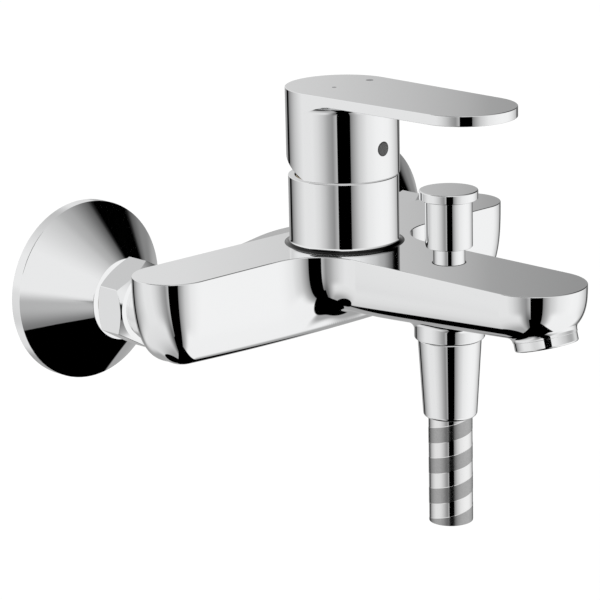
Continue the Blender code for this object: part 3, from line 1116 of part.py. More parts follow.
def shower_outlet(chrome, brass, rubber):
    """The threaded nipple in the collar, whose upper end is the diverter's lower seat."""
    place = (DIVERTER_X, DIVERTER_Y, 0.0)
    thread_top = COLLAR_BOTTOM_Z - SEAT_GAP
    upper = OUTLET_THREAD_RADIUS - OUTLET_NECK_STEP
    turned("shower_outlet_nipple", [
        (upper, LOWER_SEAT_Z),
        (upper, thread_top),
        (OUTLET_THREAD_RADIUS, thread_top),
        (OUTLET_THREAD_RADIUS, NIPPLE_END_Z),
        (OUTLET_BORE_RADIUS, NIPPLE_END_Z),
        (OUTLET_BORE_RADIUS, LOWER_SEAT_Z),
    ], MEDIUM, brass, place)
    seat = HOSE_NUT_BOTTOM_RADIUS - TAIL_FLANGE_INSET
    turned("hose_washer", tube(seat, HOSE_WASHER_BORE, HOSE_WASHER_Z, HOSE_WASHER_Z + WASHER_THICKNESS),
           COARSE, rubber, place)
    tail = hose_bore() - SEAT_GAP
    turned("hose_tail", [
        (seat, TAIL_Z + TAIL_FLANGE),
        (tail - TAIL_WALL, TAIL_Z + TAIL_FLANGE),
        (tail - TAIL_WALL, HOSE_NUT_BOTTOM_Z + TAIL_STOP),
        (tail, HOSE_NUT_BOTTOM_Z + TAIL_STOP),
        (tail, TAIL_Z),
        (seat, TAIL_Z),
    ], COARSE, brass, place)
    nut_top = COLLAR_BOTTOM_Z - SEAT_GAP
    thread = OUTLET_THREAD_RADIUS + THREAD_GAP
    turned("hose_nut", [
        (HOSE_NUT_TOP_RADIUS, nut_top),
        (thread, nut_top),
        (thread, NIPPLE_END_Z - SEAT_GAP),
        (seat + SEAT_GAP, NIPPLE_END_Z - SEAT_GAP),
        (seat + SEAT_GAP, NUT_LEDGE_Z),
        (tail + SEAT_GAP, NUT_LEDGE_Z),
        (tail + SEAT_GAP, NUT_LEDGE_Z - NUT_LEDGE),
        (HOSE_RADIUS + SEAT_GAP, NUT_LEDGE_Z - NUT_LEDGE),
        (HOSE_RADIUS + SEAT_GAP, HOSE_NUT_BOTTOM_Z),
        (HOSE_NUT_BOTTOM_RADIUS - HOSE_NUT_CORNER, HOSE_NUT_BOTTOM_Z),
        (HOSE_NUT_BOTTOM_RADIUS, HOSE_NUT_BOTTOM_Z + HOSE_NUT_CORNER),
    ], MEDIUM, chrome, place)


def hose_bore():
    """Inner radius of the hose's liner."""
    return HOSE_RADIUS - HOSE_JACKET_WALL - SEAT_GAP - HOSE_LINER_WALL


def shower_hose(silver, rubber):
    """The first stretch of the shower hose: a round jacket over a liner, cut square."""
    place = (DIVERTER_X, DIVERTER_Y, 0.0)
    jacket_bore = HOSE_RADIUS - HOSE_JACKET_WALL
    turned("hose_jacket", tube(HOSE_RADIUS, jacket_bore, HOSE_END_Z, HOSE_TOP_Z), MEDIUM, silver, place)
    turned("hose_liner", tube(jacket_bore - SEAT_GAP, hose_bore(), HOSE_END_Z, HOSE_TOP_Z),
           COARSE, rubber, place)


# ---- aerator -----------------------------------------------------------------------------------
def aerator(chrome, plastic, rubber):
    """A chrome ring screwed up into the spout, with a perforated insert and a gasket above it."""
    place = (0.0, AERATOR_Y, AERATOR_Z)
    turned("aerator_ring", [
        (AERATOR_RADIUS - AERATOR_EDGE, 0.0),
        (AERATOR_RADIUS, AERATOR_EDGE),
        (AERATOR_RADIUS, AERATOR_RING_LENGTH),
        (AERATOR_THREAD_RADIUS, AERATOR_RING_LENGTH),
        (AERATOR_THREAD_RADIUS, AERATOR_LENGTH),
        (AERATOR_BORE_RADIUS, AERATOR_LENGTH),
        (AERATOR_BORE_RADIUS, AERATOR_LIP),
        (AERATOR_BORE_RADIUS - AERATOR_LIP_REACH, AERATOR_LIP),
        (AERATOR_BORE_RADIUS - AERATOR_LIP_REACH, 0.0),
    ], MEDIUM, chrome, place, UP_AERATOR)
    low = AERATOR_LIP + SEAT_GAP
    outer = AERATOR_BORE_RADIUS - SEAT_GAP
    insert = turned("aerator_insert", [
        (0.0, low),
        (outer, low),
        (outer, AERATOR_LENGTH - SEAT_GAP),
        (outer - INSERT_WALL, AERATOR_LENGTH - SEAT_GAP),
        (outer - INSERT_WALL, low + INSERT_FLOOR),
        (0.0, low + INSERT_FLOOR),
    ], MEDIUM, plastic, place, UP_AERATOR)
    axis = UP_AERATOR.to_matrix()
    holes = []
    for ring_radius, count in AERATOR_HOLE_RINGS:
        for index in range(count):
            angle = 2 * math.pi * (index + 0.3) / count
            offset = axis @ Vector((ring_radius * math.cos(angle), ring_radius * math.sin(angle), 0.0))
            holes.append(turned(f"aerator_hole_{count}_{index}",
                                rod(AERATOR_HOLE_RADIUS, low - THROUGH, low + INSERT_FLOOR + THROUGH),
                                6, None, Vector(place) + offset, UP_AERATOR))
    cut(insert, *holes)
    gasket_low = AERATOR_LENGTH + SEAT_GAP
    turned("aerator_gasket", tube(AERATOR_THREAD_RADIUS - AERATOR_GASKET_INSET,
                                  AERATOR_BORE_RADIUS - AERATOR_GASKET_REACH,
                                  gasket_low, gasket_low + AERATOR_GASKET),
           COARSE, rubber, place, UP_AERATOR)


# ---- the whole faucet --------------------------------------------------------------------------
def clear_scene():
    for item in list(bpy.data.objects):
        bpy.data.objects.remove(item, do_unlink=True)


def build():
    clear_scene()
    chrome = surface("polished_chrome", (0.82, 0.83, 0.84), 1.0, 0.06)
    brass = surface("machined_brass", (0.72, 0.55, 0.28), 1.0, 0.3)
    steel = surface("stainless_steel", (0.60, 0.60, 0.61), 1.0, 0.3)
    plastic = surface("white_plastic", (0.80, 0.80, 0.78), 0.0, 0.4)
    rubber = surface("black_rubber", (0.03, 0.03, 0.03), 0.0, 0.7)
    ceramic = surface("white_ceramic", (0.88, 0.87, 0.84), 0.0, 0.15)
    grey = surface("grey_plastic", (0.25, 0.25, 0.26), 0.0, 0.5)
    silver = surface("silver_hose", (0.55, 0.56, 0.57), 0.6, 0.3)

    for side in (LEFT, RIGHT):
        wall_rosette(side, chrome)
        s_union(side, brass)
        union_nut(side, chrome)
        strainer_washer(side, rubber)
        inlet_nipple(side, chrome)
        check_valve(side, plastic, rubber, steel)
    body_casting(chrome)
    cartridge_fixed(plastic, rubber, ceramic, brass, chrome)

    turn_axis = axis_empty("temperature_axis", (0.0, TOWER_Y, PIVOT_Z))
    slide_axis = axis_empty("disc_axis", (0.0, TOWER_Y, CARRIER_Z), turn_axis)
    lift_axis = axis_empty("lift_axis", (0.0, TOWER_Y, PIVOT_Z), turn_axis)
    cartridge_rotor(turn_axis, plastic, steel)
    disc_slide(slide_axis, plastic, ceramic)
    spindle(lift_axis, brass)
    handle(lift_axis, chrome)
    handle_plug(lift_axis, grey)

    pull_axis = axis_empty("diverter_axis", (DIVERTER_X, DIVERTER_Y, TOP_Z))
    diverter(pull_axis, chrome, brass, rubber, steel)
    shower_outlet(chrome, brass, rubber)
    shower_hose(silver, rubber)
    aerator(chrome, plastic, rubber)


build()
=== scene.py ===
import math
from functools import reduce

import bmesh
import bpy
import numpy as np
from mathutils import Matrix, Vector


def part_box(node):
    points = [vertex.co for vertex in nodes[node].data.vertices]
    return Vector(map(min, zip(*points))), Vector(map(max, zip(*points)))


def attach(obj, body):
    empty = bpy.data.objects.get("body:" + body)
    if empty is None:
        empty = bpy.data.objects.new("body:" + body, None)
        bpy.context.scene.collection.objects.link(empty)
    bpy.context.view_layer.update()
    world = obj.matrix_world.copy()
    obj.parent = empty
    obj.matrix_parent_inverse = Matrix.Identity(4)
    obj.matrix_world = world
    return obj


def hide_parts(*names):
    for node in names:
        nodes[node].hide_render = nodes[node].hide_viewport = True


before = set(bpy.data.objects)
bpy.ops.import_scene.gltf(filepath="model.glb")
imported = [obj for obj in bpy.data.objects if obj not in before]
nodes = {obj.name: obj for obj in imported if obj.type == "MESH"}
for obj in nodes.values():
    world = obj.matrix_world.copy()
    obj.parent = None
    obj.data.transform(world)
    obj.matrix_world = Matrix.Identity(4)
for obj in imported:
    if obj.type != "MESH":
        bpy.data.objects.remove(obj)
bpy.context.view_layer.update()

MM = 0.001


# ---- S-unions --------------------------------------------
# Each inlet starts at the wall with an eccentric brass fitting: a G1/2 thread for the pipe in the
# wall, a turned barrel, and a G3/4 thread 8 mm lower that takes the union nut. Turned round, it
# shifts the faucet to fit the pipes. It is cast, its threads are cut, and it is left unplated.
INLETS = {"left": -0.075, "right": 0.075}
INTO_ROOM = np.array((0.0, -1.0, 0.0))
UP = np.array((0.0, 0.0, 1.0))


def unit(vectors):
    """Each vector divided by its own length."""
    return vectors / np.maximum(np.linalg.norm(vectors, axis=-1, keepdims=True), 1e-12)


def rounded(corners, faces, edges, steps=4):
    """Rows of points and normals along a chain of corners, each corner rounded to its own radius.

    Between two flats with normals a and b that meet at a corner, the rounding's centre is the corner
    less radius * (a + b) / (1 + a.b); its points are the centre plus radius times each normal between
    a and b. A negative radius hollows an inside corner in the same way. Radius 0 keeps the corner.
    """
    rows, normals = [], []
    for index, (corner, edge) in enumerate(zip(corners, edges)):
        before, after = faces[index - 1], faces[index % len(faces)]
        if index == len(faces):
            after = before
        if index == 0 and len(faces) < len(corners):
            before = after
        if edge == 0.0:
            rows.append(corner)
            normals.append(unit(before + after))
            continue
        middle = corner - edge * (before + after) / (1.0 + np.sum(before * after, -1, keepdims=True))
        for part in np.linspace(0.0, 1.0, steps + 1):
            normal = unit(before * (1.0 - part) + after * part)
            rows.append(middle + edge * normal)
            normals.append(normal)
    return np.array(rows), np.array(normals)


def spokes(axis, segments):
    """Directions square to an axis, spread over one turn: cos turn * first + sin turn * second."""
    first = unit(np.cross(axis, (1.0, 0.0, 0.0) if abs(axis[0]) < 0.9 else (0.0, 1.0, 0.0)))
    turn = np.linspace(0.0, 2.0 * np.pi, segments, endpoint=False)[:, None]
    return np.cos(turn) * first + np.sin(turn) * np.cross(axis, first)


def turned(profile, place, axis=UP, segments=128, steps=4):
    """A surface of revolution with rounded edges, as rows of points and normals.

    The profile is a list of (radius, height, edge radius). A point is place + height * axis +
    radius * spoke; the profile runs out, up and back in, so its normal is its direction turned a
    quarter clockwise.
    """
    spoke = spokes(axis, segments)
    corners = [np.asarray(place) + height * axis + radius * spoke for radius, height, edge in profile]
    closed = profile[0][0] > 0.0
    ends = profile + profile[:1] if closed else profile
    faces = []
    for (r0, h0, e0), (r1, h1, e1) in zip(ends, ends[1:]):
        length = math.hypot(r1 - r0, h1 - h0)
        faces.append((h1 - h0) / length * spoke - (r1 - r0) / length * axis)
    rows, normals = rounded(corners, faces, [edge for radius, height, edge in profile], steps)
    if closed:
        rows, normals = np.concatenate((rows, rows[:1])), np.concatenate((normals, normals[:1]))
    return rows, normals


def skin(name, shells, *materials, lead=0, finish=0, mirrored_in_others=False):
    """One mesh from grids of points: four neighbours make a face, and the last column meets the first.

    A grid whose faces point against its normals is turned round. Doubled points at poles and seams
    are merged, and the given normals shade the surface, so a coarse grid still mirrors smoothly.
    With a lead, as on a screw, the first grid's last column meets its first that many rows further
    on. The finish picks a material for each face of the first grid. A piece shows in the polish of
    its neighbours only if that is asked for, so that each one mirrors the studio alone.
    """
    points, outward, quads, start = [], [], [], 0
    for rows, normals in shells:
        count, columns = rows.shape[:2]
        index = start + np.arange(count * columns).reshape(count, columns)
        after = np.roll(index, -1, 1)
        if lead and start == 0:
            after[:, -1] = index[np.minimum(np.arange(count) + lead, count - 1), 0]
        faces = np.stack((index[:-1], after[:-1], after[1:], index[1:]), -1).reshape(-1, 4)
        flat, slant = rows.reshape(-1, 3), normals.reshape(-1, 3)
        local = faces - start
        facing = np.cross(flat[local[:, 2]] - flat[local[:, 0]], flat[local[:, 3]] - flat[local[:, 1]])
        if np.sum(facing * slant[local].mean(1)) < 0.0:
            faces = faces[:, ::-1]
        points.append(flat)
        outward.append(slant)
        quads.append(faces)
        start += count * columns
    points, outward, quads = np.concatenate(points), np.concatenate(outward), np.concatenate(quads)
    mesh = bpy.data.meshes.new(name)
    mesh.from_pydata(points.tolist(), [], quads.tolist())
    mesh.attributes.new("outward", "FLOAT_VECTOR", "POINT").data.foreach_set("vector", outward.ravel())
    choice = np.zeros(len(quads), np.int32)
    choice[:np.size(finish)] = np.ravel(finish)
    mesh.polygons.foreach_set("material_index", choice)
    work = bmesh.new()
    work.from_mesh(mesh)
    bmesh.ops.remove_doubles(work, verts=work.verts, dist=2e-7)
    work.to_mesh(mesh)
    work.free()
    mesh.polygons.foreach_set("use_smooth", np.ones(len(mesh.polygons), bool))
    slant = np.zeros(len(mesh.vertices) * 3)
    mesh.attributes["outward"].data.foreach_get("vector", slant)
    mesh.attributes.remove(mesh.attributes["outward"])
    mesh.normals_split_custom_set_from_vertices(slant.reshape(-1, 3).tolist())
    for material in materials:
        mesh.materials.append(material)
    item = bpy.data.objects.new(name, mesh)
    bpy.context.collection.objects.link(item)
    item.visible_glossy = mirrored_in_others
    return item


THREAD_DEPTH, THREAD_PITCH, THREAD_BORE = 1.16 * MM, 1.814 * MM, 7.0 * MM


def threaded(radius, low, high, place, segments=64):
    """A tube into the room with a cut thread: radius less half the depth * (1 - cos of the phase).

    The phase is the height over the pitch plus the turn, a whole turn for each pitch, and the depth
    fades out over a pitch at both ends. The bore is plain.
    """
    turn = np.linspace(0.0, 2.0 * np.pi, segments, endpoint=False)
    height = np.linspace(low, high, int((high - low) / THREAD_PITCH * 10))[:, None]
    fade = np.clip(np.minimum(height - low, high - height) / THREAD_PITCH, 0.0, 1.0)
    phase = 2.0 * np.pi * height / THREAD_PITCH + turn
    reach = radius - THREAD_DEPTH * (1.0 - fade) - fade * THREAD_DEPTH * (1.0 - np.cos(phase)) / 2.0
    height = height + 0.0 * turn
    bore = np.full_like(reach[:1], THREAD_BORE)
    reach = np.concatenate((bore, reach, bore, bore))
    height = np.concatenate((height[:1], height, height[-1:], height[:1]))
    spoke = spokes(INTO_ROOM, segments)
    rows = np.asarray(place) + height[..., None] * INTO_ROOM + reach[..., None] * spoke
    flat = 0.0 * rows[:1]
    return rows, np.concatenate((flat - INTO_ROOM, spoke + 0.0 * rows[1:-2], flat + INTO_ROOM, flat - spoke))


def noise(tree, scale):
    """A noise texture on Object coordinates."""
    coordinates = tree.nodes.new("ShaderNodeTexCoord")
    texture = tree.nodes.new("ShaderNodeTexNoise")
    texture.inputs["Scale"].default_value = scale
    texture.inputs["Detail"].default_value = 3.0
    tree.links.new(coordinates.outputs["Object"], texture.inputs["Vector"])
    return texture.outputs["Fac"]


def tone_ramp(share, stops):
    """A Color Ramp that gives each share between 0 and 1 its tone. A stop is (share, red, green, blue)."""
    ramp = share.id_data.nodes.new("ShaderNodeValToRGB")
    for index, (place, *tone) in enumerate(stops):
        stop = ramp.color_ramp.elements[index] if index < 2 else ramp.color_ramp.elements.new(place)
        stop.position, stop.color = place, (*tone, 1.0)
    share.id_data.links.new(share, ramp.inputs["Fac"])
    return ramp.outputs["Color"]


def remap(value, low, high, first, second, easing="LINEAR"):
    """A Map Range node: the first number up to low, the second from high on, and in between a blend."""
    step = value.id_data.nodes.new("ShaderNodeMapRange")
    step.interpolation_type = easing
    for limit, number in zip(("From Min", "From Max", "To Min", "To Max"), (low, high, first, second)):
        step.inputs[limit].default_value = number
    value.id_data.links.new(value, step.inputs["Value"])
    return step.outputs["Result"]


def surface_finish(name, colour, metallic, shine, grain_scale, tones=(), grit=(), stain_scale=None):
    """A node material with one fine noise on Object coordinates as its grain.

    The grain moves the roughness between the two values of shine, blends the colour between the two
    tones, and stands up with grit's strength and distance. A stain scale gives the tones a coarser
    noise of their own. Noise lies mostly between 0.3 and 0.7, and that stretch is spread out.
    """
    material = bpy.data.materials.new(name)
    material.use_nodes = True
    tree = material.node_tree
    bsdf = tree.nodes["Principled BSDF"]
    bsdf.inputs["Base Color"].default_value = (*colour, 1.0)
    bsdf.inputs["Metallic"].default_value = metallic
    bsdf.inputs["Roughness"].default_value = sum(shine) / 2.0
    grain = noise(tree, grain_scale)
    tree.links.new(remap(grain, 0.3, 0.7, *shine), bsdf.inputs["Roughness"])
    if tones:
        stain = noise(tree, stain_scale) if stain_scale else grain
        mottled = tone_ramp(stain, [(0.3, *tones[0]), (0.7, *tones[1])])
        tree.links.new(mottled, bsdf.inputs["Base Color"])
    if grit:
        bump = tree.nodes.new("ShaderNodeBump")
        bump.inputs["Strength"].default_value, bump.inputs["Distance"].default_value = grit
        tree.links.new(grain, bump.inputs["Height"])
        tree.links.new(bump.outputs["Normal"], bsdf.inputs["Normal"])
    return material


brass = surface_finish("machined brass", (0.50, 0.38, 0.19), 1.0, (0.22, 0.42), 900.0,
                       ((0.36, 0.26, 0.12), (0.56, 0.43, 0.22)), (0.25, 0.05 * MM), stain_scale=60.0)
UNION_THREAD_R, WALL_THREAD_R, THREAD_OFFSET = 13.2 * MM, 10.48 * MM, 8.0 * MM
BARREL_R, BARREL_START, BARREL_END = 14.0 * MM, 0.3 * MM, 12.0 * MM
for side, inlet_x in INLETS.items():
    union_axis, pipe_axis = (inlet_x, 0.0, 0.0), (inlet_x, 0.0, THREAD_OFFSET)
    barrel = turned([(0.0, BARREL_START, 0.0), (BARREL_R, BARREL_START, 0.6 * MM),
                     (BARREL_R, BARREL_END, 0.6 * MM), (12.0 * MM, BARREL_END, 0.2 * MM),
                     (0.0, 12.4 * MM, 0.0)], union_axis, INTO_ROOM)
    union_thread = threaded(UNION_THREAD_R, 11.8 * MM, 31.0 * MM, union_axis)
    wall_thread = threaded(WALL_THREAD_R, -20.0 * MM, 10.0 * MM, pipe_axis)
    s_union = skin(f"eccentric_{side}", [barrel, union_thread, wall_thread], brass)
    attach(s_union, "faucet_base")
    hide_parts(f"s_union_{side}")


# ---- wall rosettes ---------------------------------------
# A rosette is a drawn brass cone, 70 mm across, that hides the hole in the tiles. Its hub screws
# along the S-union's thread until the straight rim meets the wall. Polished and chrome plated.
chrome = surface_finish("polished chrome", (0.93, 0.935, 0.94), 1.0, (0.02, 0.045), 45.0)
ROSETTE_R, ROSETTE_INSIDE_R, ROSETTE_DEEP, RIM_DEEP = 35.0 * MM, 33.1 * MM, 25.8 * MM, 4.7 * MM
NOSE_R, HUB_R, HUB_BORE, HUB_START, HUB_ROOT = 15.8 * MM, 14.7 * MM, 13.5 * MM, 16.8 * MM, 23.2 * MM
for side, inlet_x in INLETS.items():
    cone = turned([
        (ROSETTE_R, 0.0, 0.2 * MM), (ROSETTE_R, RIM_DEEP, 0.35 * MM), (NOSE_R, ROSETTE_DEEP, 0.4 * MM),
        (HUB_BORE, ROSETTE_DEEP, 0.1 * MM), (HUB_BORE, HUB_START, 0.1 * MM), (HUB_R, HUB_START, 0.1 * MM),
        (HUB_R, HUB_ROOT, -0.3 * MM), (ROSETTE_INSIDE_R, 3.5 * MM, -0.3 * MM),
        (ROSETTE_INSIDE_R, 0.0, 0.2 * MM)], (inlet_x, 0.0, 0.0), INTO_ROOM, 192)
    rosette = skin(f"rosette_{side}", [cone], chrome)
    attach(rosette, "faucet_base")
    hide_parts(f"wall_rosette_{side}")


# ---- union nuts ------------------------------------------
# A brass hexagon, 30 mm across flats, turned with a chamfer at both ends. It runs on the S-union's
# thread and draws the nipple's flange on to the washer. Chrome plated.
NUT_BACK, NUT_FRONT, NUT_FACE, NUT_BORE = 27.2 * MM, 41.0 * MM, 14.4 * MM, 12.3 * MM
NUT_HALF_FLATS, NUT_EDGE, NUT_CHAMFER = 15.0 * MM, 0.35 * MM, math.radians(35.0)


def hexagon(half_flats, edge, steps=16):
    """A hexagon with corners up and down and rounded edges, as plan points and normals.

    A flat is half_flats * its normal plus a stretch along it; an edge is the corner's centre plus
    edge * normal, with the normal turning 60 degrees from one flat to the next.
    """
    around = lambda degrees: np.stack((np.cos(np.radians(degrees)), np.sin(np.radians(degrees))), -1)
    inner = half_flats - edge
    stretch = inner * math.tan(math.pi / 6) * np.linspace(-1.0, 1.0, steps)[:, None]
    points, normals = [], []
    for flat in range(0, 360, 60):
        normal, bend = around(flat + np.zeros(steps)), around(flat + np.linspace(10.0, 50.0, 5))
        points.append(half_flats * normal + stretch * around(flat + 90.0))
        points.append(inner / math.cos(math.pi / 6) * around(flat + 30.0) + edge * bend)
        normals += [normal, bend]
    return np.concatenate(points), np.concatenate(normals)


def nut_rows(inlet_x):
    """Both ends' faces, chamfers and the six flats, as one ring of rounded corners.

    A chamfer leaves the end face at NUT_FACE and falls back by the tangent of its angle for each
    unit of radius, so on every flat it ends on a curve.
    """
    plan, flat = (np.stack((pair[:, 0], 0.0 * pair[:, 0], pair[:, 1]), -1)
                  for pair in hexagon(NUT_HALF_FLATS, NUT_EDGE))
    reach = np.linalg.norm(plan, axis=1, keepdims=True)
    spoke = plan / reach
    place = np.array((inlet_x, 0.0, 0.0))
    fall = (reach - NUT_FACE) * math.tan(NUT_CHAMFER)
    lean, rest = math.sin(NUT_CHAMFER), math.cos(NUT_CHAMFER)
    ring = lambda radius, depth: place + radius * spoke + depth * INTO_ROOM
    corners = [ring(NUT_BORE, NUT_BACK), ring(NUT_FACE, NUT_BACK),
               place + plan + (NUT_BACK + fall) * INTO_ROOM, place + plan + (NUT_FRONT - fall) * INTO_ROOM,
               ring(NUT_FACE, NUT_FRONT), ring(NUT_BORE, NUT_FRONT)]
    faces = [-INTO_ROOM + 0.0 * spoke, lean * spoke - rest * INTO_ROOM, flat,
             lean * spoke + rest * INTO_ROOM, INTO_ROOM + 0.0 * spoke, -spoke]
    rows, normals = rounded(corners, faces, [0.1 * MM, 0.2 * MM, 0.3 * MM, 0.3 * MM, 0.2 * MM, 0.1 * MM])
    return np.concatenate((rows, rows[:1])), np.concatenate((normals, normals[:1]))


for side, inlet_x in INLETS.items():
    nut = skin(f"hexagon_nut_{side}", [nut_rows(inlet_x)], chrome)
    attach(nut, "faucet_base")
    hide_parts(f"union_nut_{side}")


# ---- washers, nipples and non-return valves --------------
# Inside each nut a strainer washer seals a flanged nipple, whose neck shows between nut and body.
# The nipple is turned brass, plated; it holds a small plastic non-return valve with a rubber poppet.
rubber = surface_finish("black rubber", (0.03, 0.03, 0.03), 0.0, (0.6, 0.8), 1500.0,
                        ((0.018, 0.018, 0.018), (0.045, 0.045, 0.045)), (0.3, 0.03 * MM))
plastic = surface_finish("white plastic", (0.8, 0.8, 0.78), 0.0, (0.34, 0.46), 700.0,
                         ((0.77, 0.77, 0.75), (0.83, 0.83, 0.81)), (0.2, 0.03 * MM))
steel = surface_finish("stainless steel", (0.6, 0.6, 0.61), 1.0, (0.2, 0.38), 1100.0, grit=(0.15, 0.03 * MM))


def dress(material, *names):
    """Gives CAD nodes that stay in view a finished material."""
    for name in names:
        nodes[name].data.materials.clear()
        nodes[name].data.materials.append(material)


NIPPLE_BORE, FLANGE_R, NECK_R, SPIGOT_R = 8.2 * MM, 12.9 * MM, 12.0 * MM, 10.4 * MM
FLANGE_START, FLANGE_END, NECK_END, SPIGOT_END = 33.6 * MM, 36.6 * MM, 43.0 * MM, 53.0 * MM
for side, inlet_x in INLETS.items():
    neck = turned([
        (NIPPLE_BORE, FLANGE_START, 0.1 * MM), (FLANGE_R, FLANGE_START, 0.2 * MM),
        (FLANGE_R, FLANGE_END, 0.2 * MM), (NECK_R, FLANGE_END, -0.1 * MM), (NECK_R, NECK_END, 0.2 * MM),
        (SPIGOT_R, NECK_END, -0.1 * MM), (SPIGOT_R, SPIGOT_END, 0.3 * MM),
        (NIPPLE_BORE, SPIGOT_END, 0.1 * MM)], (inlet_x, 0.0, 0.0), INTO_ROOM)
    nipple = skin(f"nipple_{side}", [neck], chrome)
    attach(nipple, "faucet_base")
    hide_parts(f"inlet_nipple_{side}")
    dress(rubber, f"strainer_washer_{side}", f"check_valve_poppet_{side}")
    dress(plastic, f"check_valve_housing_{side}")
    dress(steel, f"check_valve_spring_{side}")


# ---- body ------------------------------------------------
# One brass casting: a cross bar between the inlets, a spout that flows out of its middle, a round
# tower for the cartridge and a collar for the shower hose. The top is milled flat; the belly is
# bowl shaped and blends over into the bar. Ground, polished and chrome plated.
TOP, TOP_EDGE = 16.4 * MM, 0.35 * MM
BAR_Y, BAR_HALF, BAR_MIDDLE, BAR_END = -59.5 * MM, 15.7 * MM, 79.3 * MM, 95.0 * MM
BAR_DEPTH, BAR_RISE, BAR_FULLNESS, END_FULLNESS = 36.0 * MM, 2.7 * MM, 3.5, 2.2
SPOUT_HALF, SPOUT_END, ROOT_Y, SPOUT_TIP = 19.7 * MM, -168.8 * MM, -96.2 * MM, -188.5 * MM
ROOT_DEPTH, DEPTH_LOSS, SPOUT_FULLNESS = 25.4 * MM, 6.6 * MM, 3.0
ROOT_FILLET, BELLY_FILLET = 21.0 * MM, 7.0 * MM


def bowl_distance(reach, depth, half, deep, fullness):
    """How far a point is outside a bowl: ((reach/half)^p + (depth/deep)^p)^(1/p) - 1 over its slope."""
    side, down = reach / half, np.maximum(depth, 0.0) / deep
    level = np.maximum(side ** fullness + down ** fullness, 1e-9)
    size = level ** (1.0 / fullness)
    slope = np.hypot(side ** (fullness - 1.0) / half, down ** (fullness - 1.0) / deep)
    return (size - 1.0) / (slope * size ** (1.0 - fullness))


def body_distance(point):
    """How far a point is outside bar and spout together, blended where they meet.

    Each is a bowl under a capsule-shaped plan; the bar's belly rises towards its ends with the
    square of x, and the spout's towards its tip. The two distances a and b join as
    max(R, min(a, b)) - |(R - a, R - b)|, which leaves a fillet of radius R; R runs from the
    plan fillet on the upright walls to a small one on the belly.
    """
    x, y, depth = point[..., 0], point[..., 1], TOP - point[..., 2]
    past = np.maximum(np.abs(x) - BAR_MIDDLE, 0.0)
    reach = np.maximum(np.hypot(past, y - BAR_Y), 1e-7)
    fullness = BAR_FULLNESS - (BAR_FULLNESS - END_FULLNESS) * (past / reach) ** 2
    bar = bowl_distance(reach, depth, BAR_HALF, BAR_DEPTH - BAR_RISE * (x / BAR_END) ** 2, fullness)
    beyond = np.maximum(SPOUT_END - y, 0.0) + np.minimum(BAR_Y - y, 0.0)
    reach = np.maximum(np.hypot(x, beyond), 1e-7)
    part = (ROOT_Y - y) / (ROOT_Y - SPOUT_TIP)
    eased = (part + np.sqrt(part ** 2 + 0.01)) / 2.0
    deep = ROOT_DEPTH - DEPTH_LOSS * eased
    spout = bowl_distance(reach, depth, SPOUT_HALF, deep, SPOUT_FULLNESS)
    wall = (reach / SPOUT_HALF) ** 3
    share = wall / (wall + (depth / deep) ** 3 + 1e-9)
    share = share * share * (3.0 - 2.0 * share)
    fillet = BELLY_FILLET + (ROOT_FILLET - BELLY_FILLET) * share
    corner = np.hypot(np.maximum(fillet - bar, 0.0), np.maximum(fillet - spout, 0.0))
    return np.maximum(fillet, np.minimum(bar, spout)) - corner


def body_normal(point):
    """The direction in which body_distance grows fastest, from its change over 0.05 mm each way."""
    step = 0.05 * MM
    slopes = [body_distance(point + step * axis) - body_distance(point - step * axis) for axis in np.eye(3)]
    return unit(np.stack(slopes, -1))


def plan_half():
    """The right half of the body's plan, from the back of the bar's middle to the spout's tip.

    Returns points on the outline, their outward normals, and for each the point of the midline
    from which the belly is struck: it runs along the bar, and through the junction into the spout.
    """
    level = lambda x, y: np.stack(np.broadcast_arrays(x, y, 0.0), -1)
    around = lambda degrees: level(np.cos(np.radians(degrees)), np.sin(np.radians(degrees)))
    bar_x = np.linspace(0.0, BAR_MIDDLE, 70, endpoint=False)
    fillet_x = SPOUT_HALF + ROOT_FILLET
    centre = level(fillet_x, BAR_Y - BAR_HALF - ROOT_FILLET)
    along = bar_x[::-1] + BAR_MIDDLE / 70
    straight, inner = along[along > fillet_x], along[along <= fillet_x]
    bar_end = around(np.linspace(90.0, -90.0, 90, endpoint=False))
    upper_bend = around(90.0 + 45.0 * (1.0 - inner / fillet_x))
    down = np.linspace(0.0, 1.0, 40, endpoint=False)
    lower_bend = around(135.0 + 45.0 * down)
    spout_y = np.linspace(ROOT_Y, SPOUT_END, 60, endpoint=False)
    tip = around(np.linspace(0.0, -90.0, 61))
    stretches = [
        (level(bar_x, BAR_Y + BAR_HALF), level(0.0 * bar_x, 1.0), level(bar_x, BAR_Y)),
        (level(BAR_MIDDLE, BAR_Y) + BAR_HALF * bar_end, bar_end, level(BAR_MIDDLE, BAR_Y) + 0.0 * bar_end),
        (level(straight, BAR_Y - BAR_HALF), level(0.0 * straight, -1.0), level(straight, BAR_Y)),
        (centre + ROOT_FILLET * upper_bend, -upper_bend, level(inner, BAR_Y)),
        (centre + ROOT_FILLET * lower_bend, -lower_bend, level(0.0, BAR_Y + (ROOT_Y - BAR_Y) * down)),
        (level(SPOUT_HALF, spout_y), level(1.0 + 0.0 * spout_y, 0.0), level(0.0, spout_y)),
        (level(0.0, SPOUT_END) + SPOUT_HALF * tip, tip, level(0.0, SPOUT_END) + 0.0 * tip)]
    return [np.concatenate(parts) for parts in zip(*stretches)]


def mirrored(half):
    """A right half followed by its own mirror image, run backwards, without the two end points twice."""
    return np.concatenate((half, (half * (-1.0, 1.0, 1.0))[-2:0:-1]))


